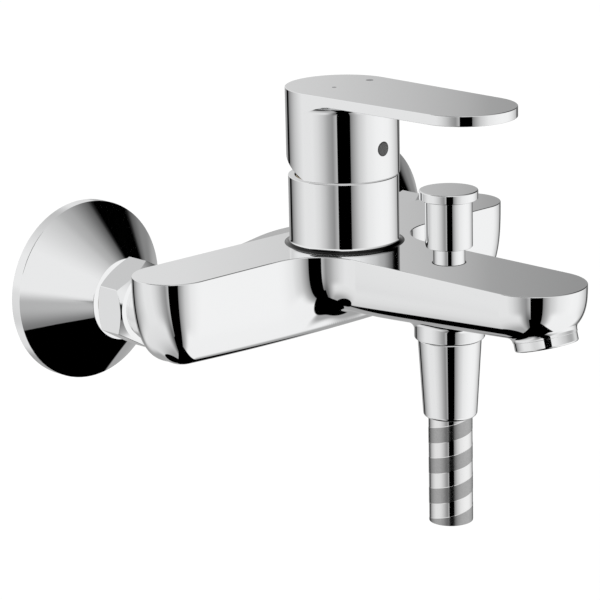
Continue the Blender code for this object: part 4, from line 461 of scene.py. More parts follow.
def bowl_rows(rows=72):
    """Top, edge and belly of the body as one grid.

    The belly's points lie where rays from the midline, swung from level to straight down, leave the
    body; each is found by halving the stretch that holds it forty times.
    """
    out, slant, mid = (mirrored(part) for part in plan_half())
    top = TOP * UP
    out, mid = out + top, mid + top
    points, normals = [], []
    for part in (0.0, 0.5):
        points.append(mid + (out - TOP_EDGE * slant - mid) * part)
        normals.append(UP + 0.0 * mid)
    for turn in np.radians(np.linspace(0.0, 90.0, 6)):
        normals.append(math.sin(turn) * slant + math.cos(turn) * UP)
        points.append(out - TOP_EDGE * (slant + UP - normals[-1]))
    reach = np.linalg.norm(out - mid, axis=1)
    level = unit(out - mid)
    start = np.arctan2(1.4 * TOP_EDGE, reach)
    swing = start + (np.pi / 2 - start) * np.linspace(0.0, 1.0, rows)[:, None] ** 1.1
    ray = np.cos(swing)[..., None] * level - np.sin(swing)[..., None] * UP
    near, far = np.zeros(swing.shape), np.full(swing.shape, 70.0 * MM)
    for halving in range(40):
        between = (near + far) / 2.0
        inside = body_distance(mid + between[..., None] * ray) < 0.0
        near, far = np.where(inside, between, near), np.where(inside, far, between)
    belly = mid + near[..., None] * ray
    return np.concatenate((np.array(points), belly)), np.concatenate((np.array(normals), body_normal(belly)))


def blended(place, axis, radius, end, fillet, edge, segments=128):
    """A round boss that grows out of the belly along an axis, with a fillet rolled round its root.

    The fillet is a ball's track: its centre is one ball radius off the boss and one off the belly,
    so its skin is the centre less the ball radius times each direction between boss and belly.
    """
    place, spoke = np.asarray(place), spokes(axis, segments)
    track = place + (radius + fillet) * spoke
    low, high = np.full((segments, 1), -20.0 * MM), np.full((segments, 1), 60.0 * MM)
    for halving in range(40):
        between = (low + high) / 2.0
        outside = body_distance(track + between * axis)[:, None] > fillet
        low, high = np.where(outside, low, between), np.where(outside, between, high)
    centre = track + low * axis
    belly = body_normal(centre)
    foot = place + end * axis
    points = [place - 5.0 * MM * axis + 0.0 * spoke, centre - (fillet + 0.3 * MM) * belly]
    normals = [-axis + 0.0 * spoke, belly]
    for part in np.linspace(0.0, 1.0, 11):
        direction = unit(belly * (1.0 - part) + spoke * part)
        points.append(centre - fillet * direction)
        normals.append(direction)
    lip, slant = rounded([centre - fillet * spoke, foot + radius * spoke, foot + 0.0 * spoke],
                         [spoke, axis + 0.0 * spoke], [0.0, edge, 0.0])
    return np.concatenate((np.array(points), lip[1:])), np.concatenate((np.array(normals), slant[1:]))


TOWER_AXIS = (0.0, -70.5 * MM, 0.0)
SHOWER_AXIS = (2.0 * MM, -124.5 * MM, 0.0)
AERATOR_FACE = np.array((0.0, -175.2 * MM, -6.3 * MM))
AERATOR_DOWN = np.array((0.0, -math.sin(math.radians(15.0)), -math.cos(math.radians(15.0))))
TOWER_R, TOWER_BORE, TOWER_HIGH, TOWER_FLOOR = 21.5 * MM, 18.9 * MM, 43.4 * MM, 17.0 * MM
FOOT_R, FOOT_LOW, FOOT_FILLET = 23.6 * MM, 15.8 * MM, 2.0 * MM
COLLAR_R, COLLAR_LOW, SNOUT_R, SNOUT_DEEP, BOSS_FILLET = 13.5 * MM, 12.8 * MM, 12.1 * MM, 3.6 * MM, 2.5 * MM
INLET_BOSS_R, INLET_BOSS_FRONT, INLET_BOSS_BACK = 13.2 * MM, -50.0 * MM, -43.3 * MM
seat = TOP - 0.005 * MM
tower_rows, tower_normals = turned([
    (0.0, FOOT_LOW, 0.0), (FOOT_R, FOOT_LOW, 0.02 * MM), (FOOT_R, seat, 0.01 * MM),
    (TOWER_R, seat, -FOOT_FILLET), (TOWER_R, TOWER_HIGH, 0.3 * MM), (TOWER_BORE, TOWER_HIGH, 0.2 * MM),
    (TOWER_BORE, TOWER_FLOOR, -0.2 * MM), (0.0, TOWER_FLOOR, 0.0)], TOWER_AXIS, UP, 192, 6)
collar = blended(SHOWER_AXIS, -UP, COLLAR_R, COLLAR_LOW, BOSS_FILLET, 0.8 * MM)
snout = blended(AERATOR_FACE, AERATOR_DOWN, SNOUT_R, -SNOUT_DEEP, BOSS_FILLET, 0.15 * MM)
bosses = [turned([(0.0, INLET_BOSS_FRONT, 0.0), (INLET_BOSS_R, INLET_BOSS_FRONT, 0.1 * MM),
                  (INLET_BOSS_R, INLET_BOSS_BACK, 0.2 * MM), (0.0, INLET_BOSS_BACK, 0.0)],
                 (inlet_x, 0.0, 0.0), -INTO_ROOM) for inlet_x in INLETS.values()]
body = skin("body", [bowl_rows(), collar, snout, *bosses], chrome)
# The fillet round the tower's foot gets a near-black copy of the chrome: painted shade, for the dark line the
# polish shows all round the foot.
painted_shade_fillet = surface_finish("fillet with painted shade", (0.03, 0.03, 0.03), 1.0, (0.02, 0.045), 45.0)
reach = np.hypot(tower_rows[..., 0] - TOWER_AXIS[0], tower_rows[..., 1] - TOWER_AXIS[1])
# foot picks the faces of the tower's fillet rows, which take the painted shade.
foot = (reach > TOWER_R + 0.1 * MM) & (reach < FOOT_R + 0.1 * MM) & (tower_rows[..., 2] > seat - 0.005 * MM)
tower = skin("tower", [(tower_rows, tower_normals)], chrome, painted_shade_fillet,
             finish=(foot[:-1] & foot[1:]).astype(int), mirrored_in_others=True)
for casting in (body, tower):
    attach(casting, "faucet_base")
    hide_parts("body_casting")


# ---- cartridge -------------------------------------------
# A 35 mm ceramic cartridge sits in the tower, held by a brass ring nut under a chromed trim ring.
# Two polished ceramic discs slide on each other; the housing, rotor and carrier are moulded plastic.
ceramic = surface_finish("white ceramic", (0.88, 0.87, 0.84), 0.0, (0.1, 0.2), 500.0,
                         ((0.86, 0.85, 0.82), (0.90, 0.89, 0.86)))
dress(rubber, "cartridge_gasket")
dress(plastic, "cartridge_base", "cartridge_housing", "cartridge_rotor", "disc_carrier",
      "temperature_limit_ring")
dress(ceramic, "ceramic_disc_fixed", "ceramic_disc_moving")
dress(brass, "cartridge_ring_nut", "lever_spindle")
dress(steel, "lever_pivot_pin")
low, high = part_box("tower_trim_ring")
TRIM_R, TRIM_BORE = 18.2 * MM, 15.8 * MM
trim_ring = skin("trim_ring", [turned([
    (TRIM_BORE, low.z, 0.1 * MM), (TRIM_R, low.z, 0.1 * MM), (TRIM_R, high.z, 0.5 * MM),
    (TRIM_BORE, high.z, 0.2 * MM)], TOWER_AXIS)], chrome)
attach(trim_ring, "faucet_base")
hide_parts("tower_trim_ring")


# ---- handle ----------------------------------------------
# Skirt and flat lever are one zinc casting, polished and chrome plated, with a hollow fillet between
# them. The back of the skirt is cut on a slant, to clear the tower when the lever is lifted. Small
# enamelled dots in the flat top mark hot on the left and cold on the right.
HANDLE_R, HANDLE_TOP, LEVER_UNDER, SKIRT_LOW = 22.0 * MM, 78.0 * MM, 74.0 * MM, 43.9 * MM
LEVER_TIP_R, LEVER_TIP_Y = 20.0 * MM, -63.9 * MM
LEVER_FILLET, RELIEF_TILT, RELIEF_Z = 4.0 * MM, math.radians(25.0), 44.2 * MM
SKIRT_BORE, SKIRT_ROOF, SOCKET_R, SOCKET_LOW = 19.0 * MM, 70.0 * MM, 9.0 * MM, 51.5 * MM
LEAN = math.asin((HANDLE_R - LEVER_TIP_R) / -LEVER_TIP_Y)


def lever_half():
    """The right half of the lever's plan from the back to the tip: points, normals and midline points.

    Round the tower's axis, straight down the narrowing side, and round the tip.
    """
    flat = lambda x, y: np.stack(np.broadcast_arrays(x, y, 0.0), -1)
    back = np.linspace(np.pi / 2, -LEAN, 80, endpoint=False)
    tip = np.linspace(-LEAN, -np.pi / 2, 61)
    side = flat(math.cos(-LEAN), math.sin(-LEAN))
    start, end = HANDLE_R * side, flat(0.0, LEVER_TIP_Y) + LEVER_TIP_R * side
    spread = np.tan(np.radians(np.linspace(0.0, 71.0, 71)))[:, None]
    part = spread[:-1] / spread[-1]
    spoke_back, spoke_tip = flat(np.cos(back), np.sin(back)), flat(np.cos(tip), np.sin(tip))
    out = np.concatenate((HANDLE_R * spoke_back, start + (end - start) * part,
                          flat(0.0, LEVER_TIP_Y) + LEVER_TIP_R * spoke_tip))
    slant = np.concatenate((spoke_back, side + 0.0 * part, spoke_tip))
    mid = np.concatenate((0.0 * spoke_back, flat(0.0, LEVER_TIP_Y * part[:, 0]),
                          flat(0.0, LEVER_TIP_Y) + 0.0 * spoke_tip))
    return out, slant, mid


def handle_rows():
    """The whole handle as one grid of rounded corners, from the socket inside to the lever's top.

    The skirt follows the direction of each point of the plan. Its fillet sweeps out at
    R + F - F cos a and up at F sin a until it meets the lever's edge or its underside.
    """
    out, slant, mid = (mirrored(part) for part in lever_half())
    axis = np.array(TOWER_AXIS)
    reach = np.linalg.norm(out, axis=1, keepdims=True)
    spoke = out / reach
    relief = np.array((0.0, math.sin(RELIEF_TILT), -math.cos(RELIEF_TILT)))
    cut = lambda radius: RELIEF_Z + radius * spoke[:, 1:2] * math.tan(RELIEF_TILT)
    point = lambda radius, height: axis + radius * spoke + height * UP
    under = np.where(cut(HANDLE_R) > SKIRT_LOW, relief, -UP)
    fillet_low = LEVER_UNDER - LEVER_FILLET
    sweep = np.arccos(np.clip((HANDLE_R + LEVER_FILLET - reach) / LEVER_FILLET, 0.0, 1.0))
    corners = [point(0.0, SOCKET_LOW), point(SOCKET_R, SOCKET_LOW), point(SOCKET_R, SKIRT_ROOF),
               point(SKIRT_BORE, SKIRT_ROOF), point(SKIRT_BORE, np.maximum(cut(SKIRT_BORE), SKIRT_LOW)),
               point(HANDLE_R, np.maximum(cut(HANDLE_R), SKIRT_LOW)), point(HANDLE_R, fillet_low)]
    faces = [-UP + 0.0 * spoke, spoke, -UP + 0.0 * spoke, -spoke, under, spoke]
    rows, normals = rounded(corners, faces, [0.0, 0.3 * MM, -0.3 * MM, -0.3 * MM, 0.2 * MM, 0.35 * MM, 0.0])
    fillet, fillet_normals = [], []
    for part in np.linspace(0.0, 1.0, 10):
        turn = sweep * part
        fillet.append(point(HANDLE_R + LEVER_FILLET * (1.0 - np.cos(turn)),
                            fillet_low + LEVER_FILLET * np.sin(turn)))
        fillet_normals.append(np.cos(turn) * spoke - np.sin(turn) * UP)
    meet = axis + out + (fillet_low + LEVER_FILLET * np.sin(sweep)) * UP
    corners = [fillet[-1], meet, axis + out + HANDLE_TOP * UP, axis + mid + HANDLE_TOP * UP]
    faces = [fillet_normals[-1], slant, UP + 0.0 * slant]
    edge_rows, edge_normals = rounded(corners, faces, [0.0, 0.3 * MM, 0.3 * MM, 0.0])
    return (np.concatenate((rows[:-1], fillet, edge_rows[1:])),
            np.concatenate((normals[:-1], fillet_normals, edge_normals[1:])))


handle = skin("handle_casting", [handle_rows()], chrome)
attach(handle, "lever")
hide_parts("handle")
dress(steel, "handle_set_screw")

enamel = surface_finish("grey enamel", (0.16, 0.16, 0.17), 0.0, (0.2, 0.3), 2500.0,
                        ((0.13, 0.13, 0.14), (0.19, 0.19, 0.2)))
DOT_Y, DOT_DEEP, DOT_PROUD = -71.8 * MM, 0.3 * MM, 0.07 * MM
for side, dot_x, dot_r in (("hot", -5.4 * MM, 0.9 * MM), ("cold", 13.9 * MM, 1.5 * MM)):
    dot = skin(f"index_{side}", [turned([(0.0, -DOT_DEEP, 0.0), (dot_r, -DOT_DEEP, 0.0),
                                         (dot_r, 0.05 * MM, 0.04 * MM), (0.0, DOT_PROUD, 0.0)],
                                        (dot_x, DOT_Y, HANDLE_TOP), UP, 48)], enamel)
    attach(dot, "lever")


# ---- set screw plug --------------------------------------
# A soft grey plastic plug, pressed into the skirt's front under the lever, hides the set screw that
# holds the handle on its spindle. Its face follows the skirt's curve; its border is darkened as painted
# shade.
PLUG_Z, PLUG_R, PLUG_FACE = 55.9 * MM, 2.85 * MM, 2.45 * MM


def plug_rows(segments=48):
    """The plug's face, border and side as a grid in polar form round its own axis.

    A point at radius r and turn t has x = r cos t and z = PLUG_Z + r sin t, and lies on a cylinder
    round the tower's axis: y = axis y - sqrt(R^2 - x^2). R is the skirt's radius plus a rise that
    falls smoothly from the face to the border; the last two rows run back inside.
    """
    turn = np.linspace(0.0, 2.0 * np.pi, segments, endpoint=False)
    reach = np.append(PLUG_FACE * np.array((0.0, 0.5, 0.8, 0.94, 1.0, 1.06, 1.1)), PLUG_R)
    part = np.clip((reach / PLUG_FACE - 0.9) / 0.18, 0.0, 1.0)
    rise = 0.12 * MM - 0.1 * MM * part * part * (3.0 - 2.0 * part)
    reach, rise = np.append(reach, (PLUG_R, 0.0)), np.append(rise, (-2.0 * MM, -2.0 * MM))
    x, z = reach[:, None] * np.cos(turn), PLUG_Z + reach[:, None] * np.sin(turn)
    y = TOWER_AXIS[1] - np.sqrt((HANDLE_R + rise[:, None]) ** 2 - x ** 2)
    rows = np.stack((x, y, z), -1)
    normals = np.cross(np.gradient(rows, axis=0), np.roll(rows, -1, 1) - np.roll(rows, 1, 1))
    normals[0], normals[-1] = INTO_ROOM, -INTO_ROOM
    return rows, unit(normals)


grey = surface_finish("grey plastic with painted border shade", (0.15, 0.15, 0.15), 0.0, (0.38, 0.52), 1800.0, grit=(0.2, 0.02 * MM))
# The colour darkens from the grey face to the border by distance from the plug's centre: painted shade on the
# border.
tree = grey.node_tree
coordinates = tree.nodes.new("ShaderNodeTexCoord")
centred = tree.nodes.new("ShaderNodeMapping")
centred.inputs["Location"].default_value = (0.0, 0.0, -PLUG_Z / PLUG_R)
centred.inputs["Scale"].default_value = (1.0 / PLUG_R, 0.0, 1.0 / PLUG_R)
rings = tree.nodes.new("ShaderNodeTexGradient")
rings.gradient_type = "SPHERICAL"
tree.links.new(coordinates.outputs["Object"], centred.inputs["Vector"])
tree.links.new(centred.outputs["Vector"], rings.inputs["Vector"])
painted_border_shade = tone_ramp(rings.outputs["Fac"], [(0.1, 0.06, 0.06, 0.06), (0.22, 0.155, 0.155, 0.155)])
tree.links.new(painted_border_shade, tree.nodes["Principled BSDF"].inputs["Base Color"])
plug = skin("hole_plug", [plug_rows()], grey)
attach(plug, "lever")
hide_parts("handle_plug")


# ---- diverter --------------------------------------------
# Pulling the knob lifts a rod and a brass valve disc from the shower's seat to the spout's. The bush
# is screwed into the spout's flat top on a thin black seal, which also serves as painted shade for the
# dark line round the bush's foot; knob and bush are turned brass, plated.
low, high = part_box("diverter_bush")
BUSH_R, ROD_BORE, GROOVE_R, GROOVE_LOW, GROOVE_HIGH = 6.1 * MM, 2.8 * MM, 4.4 * MM, 18.7 * MM, 20.7 * MM
bush = skin("diverter_neck", [turned([
    (ROD_BORE, low.z, 0.1 * MM), (BUSH_R, low.z, 0.3 * MM), (BUSH_R, high.z, 0.3 * MM),
    (ROD_BORE, high.z, 0.1 * MM), (ROD_BORE, GROOVE_HIGH, 0.1 * MM), (GROOVE_R, GROOVE_HIGH, -0.1 * MM),
    (GROOVE_R, GROOVE_LOW, -0.1 * MM), (ROD_BORE, GROOVE_LOW, 0.1 * MM)], SHOWER_AXIS)], chrome)
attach(bush, "faucet_base")
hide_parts("diverter_bush")
SEAL_R, SEAL_BORE, SEAL_LOW, SEAL_HIGH = 6.5 * MM, 5.9 * MM, TOP - 0.5 * MM, TOP + 0.12 * MM
# A black rubber ring round the bush's foot: a seal, and also painted shade for the dark line there.
neck_seal_and_shade = skin("neck_seal_and_shade", [turned([
    (SEAL_BORE, SEAL_LOW, 0.0), (SEAL_R, SEAL_LOW, 0.0), (SEAL_R, SEAL_HIGH, 0.1 * MM),
    (SEAL_BORE, SEAL_HIGH, 0.0)], SHOWER_AXIS)], rubber)
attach(neck_seal_and_shade, "faucet_base")

low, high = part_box("diverter_knob")
CAP_R, KNOB_R, HOLLOW_R = 11.15 * MM, 9.0 * MM, 6.4 * MM
cap_low, hollow_high, socket_high = high.z - 3.6 * MM, high.z - 8.0 * MM, high.z - 2.0 * MM
knob = skin("pull_knob", [turned([
    (0.0, socket_high, 0.0), (ROD_BORE, socket_high, -0.1 * MM), (ROD_BORE, hollow_high, 0.1 * MM),
    (HOLLOW_R, hollow_high, -0.2 * MM), (HOLLOW_R, low.z, 0.2 * MM), (KNOB_R, low.z, 0.35 * MM),
    (KNOB_R, cap_low, -0.25 * MM), (CAP_R, cap_low, 0.4 * MM), (CAP_R, high.z, 0.45 * MM),
    (0.0, high.z, 0.0)], SHOWER_AXIS)], chrome)
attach(knob, "diverter")
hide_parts("diverter_knob")
dress(steel, "diverter_rod", "diverter_spring")
dress(brass, "diverter_valve_disc", "shower_outlet_nipple", "hose_tail")
dress(rubber, "diverter_rod_seal", "diverter_valve_seal", "hose_washer", "hose_liner")


# ---- hose nut --------------------------------------------
# A long tapered brass nut, turned and plated, that screws on to the shower outlet's thread and
# clamps the hose's tail against a rubber washer.
low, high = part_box("hose_nut")
NUT_LOW_R, NUT_HIGH_R, OUTLET_BORE, OUTLET_LOW = 10.3 * MM, 12.2 * MM, 10.8 * MM, -22.4 * MM
SEAT_BORE, LEDGE_HIGH, LEDGE_LOW, LEDGE_BORE, TAIL_BORE = 9.8 * MM, -26.9 * MM, -28.9 * MM, 5.1 * MM, 8.8 * MM
hose_nut = skin("tapered_nut", [turned([
    (TAIL_BORE, low.z, 0.2 * MM), (NUT_LOW_R, low.z, 1.5 * MM), (NUT_HIGH_R, high.z, 0.3 * MM),
    (OUTLET_BORE, high.z, 0.1 * MM), (OUTLET_BORE, OUTLET_LOW, 0.0), (SEAT_BORE, OUTLET_LOW, 0.0),
    (SEAT_BORE, LEDGE_HIGH, 0.0), (LEDGE_BORE, LEDGE_HIGH, 0.0), (LEDGE_BORE, LEDGE_LOW, 0.0),
    (TAIL_BORE, LEDGE_LOW, 0.0)], SHOWER_AXIS, UP, 128, 8)], chrome)
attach(hose_nut, "faucet_base")
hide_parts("hose_nut")


# ---- shower hose -----------------------------------------
# The first stretch of a silver hose, cut square. A strip with a mirror-bright foil band and a matt
# grey band is wound round the liner in right-handed turns, 12 mm apart. The grey band is where the
# strip laps over itself, and lies a little higher.
low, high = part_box("hose_jacket")
HOSE_R, HOSE_BORE, HOSE_LOW, HOSE_HIGH = 8.5 * MM, 6.9 * MM, low.z, high.z
WIND, WIND_START, FOIL_STEP = 12.19 * MM, -47.19 * MM, 0.05 * MM


def jacket_rows(columns=128):
    """The jacket's outside as rows that climb along the helix, one column for each share of a turn.

    z = start + pitch * (phase + share), cut off level at the hose's two ends. Over the foil half of
    each phase the radius is a step less, with shoulders eased over 0.02 of a phase. The normal is
    the spoke, leant by the shoulder's slope. Also says which faces are foil, and after how many
    rows the last column meets the first.
    """
    half = np.concatenate([np.linspace(start, end, count, endpoint=False)
                           for start, end, count in ((0.0, 0.03, 5), (0.03, 0.47, 12), (0.47, 0.5, 5))])
    pattern = np.concatenate((half, half + 0.5))
    winds = np.arange(-5, 3)
    phase = (winds[:, None] + pattern).ravel()[:, None]
    share = np.linspace(0.0, 1.0, columns, endpoint=False)[None, :]
    height = np.clip(WIND_START + WIND * (phase + share), HOSE_LOW, HOSE_HIGH)
    within = (height - WIND_START) / WIND - share
    within = within - np.floor(within)
    eased = np.clip(np.minimum(within - 0.5, 1.0 - within) / 0.02, 0.0, 1.0)
    reach = HOSE_R - FOIL_STEP * eased * eased * (3.0 - 2.0 * eased)
    turn = 2.0 * np.pi * share + 0.0 * height
    spoke = np.stack((np.cos(turn), np.sin(turn), 0.0 * turn), -1)
    rows = np.array(SHOWER_AXIS) + reach[..., None] * spoke + height[..., None] * UP
    slope = np.gradient(reach, axis=0) / np.maximum(np.gradient(height, axis=0), 0.01 * MM)
    foil = np.tile(pattern >= 0.5, len(winds))[:-1, None] & np.ones(columns, bool)
    return rows, unit(spoke - np.clip(slope, -1.0, 1.0)[..., None] * UP), foil, len(pattern)


def end_rows(outside):
    """Both cut ends and the bore as one grid: each end's rim, face and bore edge on the same spokes."""
    spoke = unit((outside[0] - np.array(SHOWER_AXIS)) * (1.0, 1.0, 0.0))
    level = lambda reach, height: np.array(SHOWER_AXIS) + reach * spoke + height * UP
    down, up, rim = -UP + 0.0 * spoke, UP + 0.0 * spoke, 0.08 * MM
    rows = [outside[0], outside[0] - rim * spoke, level(HOSE_BORE + rim, HOSE_LOW),
            level(HOSE_BORE, HOSE_LOW + rim), level(HOSE_BORE, HOSE_HIGH - rim),
            level(HOSE_BORE + rim, HOSE_HIGH), outside[-1] - rim * spoke, outside[-1]]
    return np.array(rows), np.array([spoke, down, down, -spoke, -spoke, up, up, spoke])


grey_foil = surface_finish("grey foil", (0.43, 0.43, 0.43), 1.0, (0.16, 0.20), 1200.0,
                           ((0.41, 0.41, 0.41), (0.45, 0.45, 0.45)))
bright_foil = surface_finish("bright foil", (0.90, 0.90, 0.90), 1.0, (0.04, 0.08), 300.0)
outside, slant, foil, lead = jacket_rows()
jacket = skin("wound_jacket", [(outside, slant), end_rows(outside)], grey_foil, bright_foil,
              lead=lead, finish=foil)
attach(jacket, "faucet_base")
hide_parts("hose_jacket")


# ---- aerator ---------------------------------------------
# A plated brass ring, screwed up into the spout on a tilt, holds a perforated plastic insert that
# mixes air into the water; a rubber gasket seals it.
RING_R, RING_THREAD_R, RING_BORE, RING_LIP_R = 11.9 * MM, 10.0 * MM, 8.9 * MM, 8.0 * MM
RING_LIP, RING_SHOULDER, RING_HIGH = 1.0 * MM, 8.6 * MM, 13.0 * MM
ring = skin("outlet_ring", [turned([
    (RING_LIP_R, 0.0, 0.2 * MM), (RING_R, 0.0, 0.7 * MM), (RING_R, RING_SHOULDER, 0.1 * MM),
    (RING_THREAD_R, RING_SHOULDER, 0.0), (RING_THREAD_R, RING_HIGH, 0.2 * MM),
    (RING_BORE, RING_HIGH, 0.2 * MM), (RING_BORE, RING_LIP, -0.1 * MM),
    (RING_LIP_R, RING_LIP, 0.2 * MM)], AERATOR_FACE, -AERATOR_DOWN)], chrome)
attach(ring, "faucet_base")
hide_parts("aerator_ring")
dress(plastic, "aerator_insert")
dress(rubber, "aerator_gasket")


# ---- studio ----------------------------------------------
# A plain pale floor well below the hose, and a soft white studio all round. Dark cards, seen only in
# the polished metal, draw its edges: a narrow one beside the camera, others on the ground under the
# spout, overhead on the left and high up behind on the right.
FLOOR_R, FLOOR_Z, FLOOR_GLOW = 6.0, -0.3, 0.79
CAMERA_SIDE, CHROME_SENDS_BACK = math.radians(133.5), 0.93


def reckon(operation, *values):
    """A Math node whose inputs are other nodes' outputs or plain numbers; returns its output."""
    tree = next(value.id_data for value in values if not isinstance(value, float))
    step = tree.nodes.new("ShaderNodeMath")
    step.operation = operation
    for socket, value in zip(step.inputs, values):
        if isinstance(value, float):
            socket.default_value = value
        else:
            tree.links.new(value, socket)
    return step.outputs["Value"]


def product(*shares):
    """All the shares multiplied together."""
    return reduce(lambda first, second: reckon("MULTIPLY", first, second), shares)


def largest(*shares):
    """The largest of the shares."""
    return reduce(lambda first, second: reckon("MAXIMUM", first, second), shares)


def dimmed(light, share):
    """The light with a share of it taken away: light * (1 - share)."""
    return product(light, reckon("SUBTRACT", 1.0, share))


def blend(share, first, second):
    """first * (1 - share) + second * share."""
    return reckon("ADD", dimmed(first, share), product(second, share))


def ease(value, start, end):
    """0 up to start and 1 from end on, eased between: 3 t^2 - 2 t^3. Falls if end is below start."""
    limits = (start, end, 0.0, 1.0) if start < end else (end, start, 1.0, 0.0)
    return remap(value, *limits, "SMOOTHSTEP")


def greys(value, low, high, stops):
    """A Color Ramp over low..high. A stop is (value, grey out of 255 as the polished metal shows it)."""
    ramp = []
    for at, grey_level in stops:
        level = grey_level / 255.0
        level = (level / 12.92 if level < 0.04045 else ((level + 0.055) / 1.055) ** 2.4) / CHROME_SENDS_BACK
        ramp.append(((at - low) / (high - low), level, level, level))
    return tone_ramp(remap(value, low, high, 0.0, 1.0), ramp)


def oval(first, second, centre, half):
    """1 inside an ellipse and 0 outside, with a narrow edge: the root of the two squared shares."""
    across, along = (reckon("DIVIDE", reckon("SUBTRACT", value, middle), reach)
                     for value, middle, reach in zip((first, second), centre, half))
    return ease(reckon("SQRT", reckon("ADD", product(across, across), product(along, along))), 1.03, 0.97)


floor_paint = bpy.data.materials.new("pale floor")
floor_paint.use_nodes = True
tree = floor_paint.node_tree
bsdf = tree.nodes["Principled BSDF"]
bsdf.inputs["Roughness"].default_value = 0.9
bsdf.inputs["Emission Color"].default_value = (1.0, 1.0, 1.0, 1.0)
mottled = tone_ramp(noise(tree, 3.0), [(0.3, 0.235, 0.235, 0.235), (0.7, 0.25, 0.25, 0.25)])
seen = tree.nodes.new("ShaderNodeLightPath").outputs
glow = product(largest(seen["Is Camera Ray"], seen["Is Glossy Ray"], seen["Is Transmission Ray"]), FLOOR_GLOW)
tree.links.new(mottled, bsdf.inputs["Base Color"])
tree.links.new(glow, bsdf.inputs["Emission Strength"])
turn = np.linspace(0.0, 2.0 * np.pi, 96, endpoint=False)
rim = np.stack((FLOOR_R * np.cos(turn), FLOOR_R * np.sin(turn), FLOOR_Z + 0.0 * turn), -1)
disc = bpy.data.meshes.new("floor")
disc.from_pydata(rim.tolist(), [], [list(range(len(rim)))])
disc.materials.append(floor_paint)
floor = bpy.data.objects.new("floor", disc)
bpy.context.collection.objects.link(floor)
for unmirrored in (floor, *nodes.values()):
    unmirrored.visible_glossy = False

scene = bpy.context.scene
scene.view_settings.view_transform = "Standard"
world = bpy.data.worlds.new("studio")
scene.world = world
world.use_nodes = True
tree = world.node_tree
links = tree.links

# directions are turned so that 0 degrees round the horizon is the side the camera stands on
ray = tree.nodes.new("ShaderNodeTexCoord")
to_front = tree.nodes.new("ShaderNodeVectorRotate")
to_front.rotation_type = "Z_AXIS"
to_front.inputs["Angle"].default_value = CAMERA_SIDE
links.new(ray.outputs["Generated"], to_front.inputs["Vector"])
parts = tree.nodes.new("ShaderNodeSeparateXYZ")
links.new(to_front.outputs["Vector"], parts.inputs["Vector"])
ahead, aside, above = parts.outputs
side_angle = reckon("DEGREES", reckon("ARCTAN2", aside, ahead))
height_angle = reckon("DEGREES", reckon("ARCSINE", above))
from_camera = reckon("ABSOLUTE", side_angle)

# the room above darkens round a card high up behind on the right; low down behind it has its own greys
CARD_SIDE, CARD_HEIGHT = math.radians(135.0), math.radians(30.0)
toward_card = tree.nodes.new("ShaderNodeVectorMath")
toward_card.operation = "DOT_PRODUCT"
toward_card.inputs[1].default_value = (math.cos(CARD_HEIGHT) * math.cos(CARD_SIDE),
                                       math.cos(CARD_HEIGHT) * math.sin(CARD_SIDE), math.sin(CARD_HEIGHT))
links.new(to_front.outputs["Vector"], toward_card.inputs[0])
off_card = reckon("DEGREES", reckon("ARCCOSINE", toward_card.outputs["Value"]))
dome = greys(off_card, 0.0, 180.0, [
    (0.0, 0), (17.0, 0), (20.0, 36), (24.0, 92), (28.0, 109), (45.0, 165), (55.0, 178), (63.0, 195),
    (90.0, 225), (100.0, 232)])
full_angle = reckon("MODULO", reckon("ADD", side_angle, 360.0), 360.0)
behind = greys(full_angle, 160.0, 220.0, [
    (160.0, 135), (174.0, 145), (175.9, 158), (176.5, 172), (177.5, 184), (179.5, 200), (182.5, 215),
    (190.0, 222), (220.0, 215)])
behind_here = product(ease(full_angle, 171.0, 174.0), ease(full_angle, 225.0, 205.0),
                      ease(height_angle, 2.0, 6.0), ease(height_angle, 40.0, 25.0))
dome = blend(behind_here, dome, behind)

# the room at eye level and the ground, which is darker on the left and behind
horizon = greys(side_angle, -180.0, 180.0, [
    (-180.0, 175), (-154.0, 150), (-141.0, 80), (-136.0, 130), (-128.0, 160), (-114.0, 194), (-100.0, 215),
    (-90.0, 226), (-65.0, 226), (-52.0, 214), (-40.0, 192), (-30.0, 161), (-21.0, 140), (-13.0, 182),
    (15.0, 125), (20.0, 155), (32.0, 200), (50.0, 229), (70.0, 238), (85.0, 241), (104.0, 239),
    (116.0, 229), (128.0, 212), (138.0, 190), (144.0, 178), (147.5, 55), (152.0, 55), (158.0, 115),
    (168.0, 160), (180.0, 175)])
left_ground = greys(height_angle, -90.0, 0.0, [
    (-90.0, 160), (-66.0, 163), (-60.0, 172), (-48.0, 206), (-42.0, 218), (-30.0, 226), (0.0, 226)])
right_ground = greys(height_angle, -90.0, 0.0, [(-90.0, 225), (-70.0, 237), (0.0, 240)])
ground = blend(ease(side_angle, -8.0, 8.0), left_ground, right_ground)
ground = blend(ease(from_camera, 128.0, 148.0), ground, 0.38)
ground_here = dimmed(ease(height_angle, -24.0, -36.0), ease(from_camera, 45.0, 25.0))
thin_card = product(ease(side_angle, -152.0, -149.0), ease(side_angle, -137.5, -140.5),
                    ease(height_angle, -26.0, -22.0))
beside_card = product(ease(side_angle, -28.0, -16.0), ease(side_angle, 0.0, -8.0),
                      ease(height_angle, -16.0, -40.0), 0.62)
low_part = dimmed(dimmed(blend(ground_here, horizon, ground), beside_card), thin_card)
front = product(ease(side_angle, -60.0, -40.0), ease(side_angle, 60.0, 40.0))
rising = largest(ease(height_angle, -6.0, 4.0), product(front, ease(height_angle, -11.0, 3.0)))
pattern = blend(rising, low_part, dome)

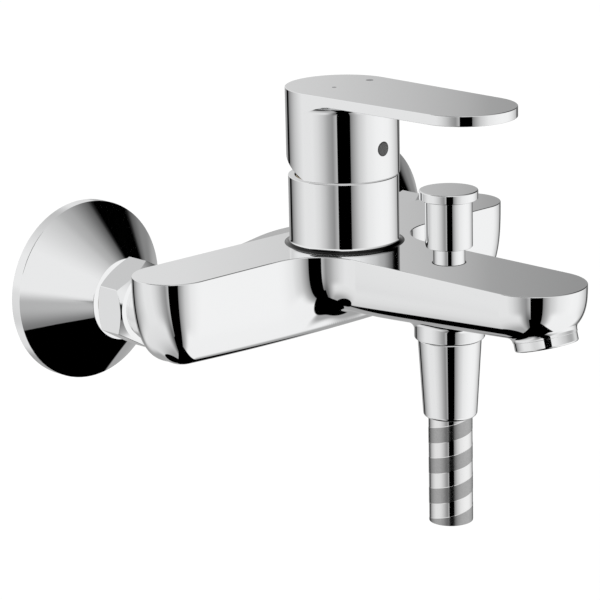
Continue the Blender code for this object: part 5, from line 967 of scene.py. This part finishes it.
# the front card stands beside the camera: its left edge leans in from 5 degrees under the horizon up,
# and it is wider near the ground. The ground cards lie under the spout and are placed by how far ahead
# and aside a ray has gone by the time it has dropped by one
CARD_LEFT, CARD_RIGHT, CARD_WIDER, CARD_LEAN, OVERHEAD_STRENGTH = -12.3, 14.5, 4.4, 0.28, 0.93
lean = product(largest(reckon("ADD", height_angle, 5.0), 0.0), CARD_LEAN)
wider = product(ease(height_angle, -38.2, -39.6), CARD_WIDER)
past_edge = reckon("SUBTRACT", side_angle, reckon("SUBTRACT", reckon("ADD", lean, CARD_LEFT), wider))
front_card = product(ease(past_edge, -0.5, 0.5), ease(side_angle, CARD_RIGHT + 0.5, CARD_RIGHT - 0.5),
                     ease(height_angle, 9.0, 7.0))
overhead_card = product(oval(side_angle, height_angle, (-50.0, 45.0), (42.0, 26.0)), OVERHEAD_STRENGTH)
drop = largest(product(above, -1.0), 0.001)
ground_ahead, ground_aside = reckon("DIVIDE", ahead, drop), reckon("DIVIDE", aside, drop)
left_oval = oval(ground_ahead, ground_aside, (-0.42, -0.36), (0.45, 0.33))
right_oval = product(oval(ground_ahead, ground_aside, (-0.3, 0.0), (1.3, 0.43)),
                     ease(ground_aside, -0.01, 0.01))
middle_oval = oval(ground_ahead, ground_aside, (-0.3, 0.0), (1.3, 0.2))
pattern = dimmed(pattern, largest(front_card, overhead_card, left_oval, right_oval, middle_oval))

seen = tree.nodes.new("ShaderNodeLightPath").outputs
light = blend(seen["Is Glossy Ray"], 0.9, pattern)
light = blend(largest(seen["Is Camera Ray"], seen["Is Transmission Ray"]), light, 1.0)
links.new(light, tree.nodes["Background"].inputs["Color"])

EYE = np.array((-0.72834, -0.81325, 0.27479))
AIM = np.array((-0.02636, -0.07225, -0.00203))
ROLL = math.radians(-1.303)
lens = bpy.data.cameras.new("camera")
lens.lens, lens.sensor_width, lens.clip_start = 164.72, 36.0, 0.01
camera = bpy.data.objects.new("camera", lens)
bpy.context.collection.objects.link(camera)
forward = unit(AIM - EYE)
right = unit(np.cross(forward, UP))
upward = np.cross(right, forward)
rolled_right = math.cos(ROLL) * right + math.sin(ROLL) * upward
rolled_up = math.cos(ROLL) * upward - math.sin(ROLL) * right
turned_camera = Matrix((rolled_right, rolled_up, -forward)).transposed()
camera.matrix_world = Matrix.Translation(EYE) @ turned_camera.to_4x4()
scene.camera = camera
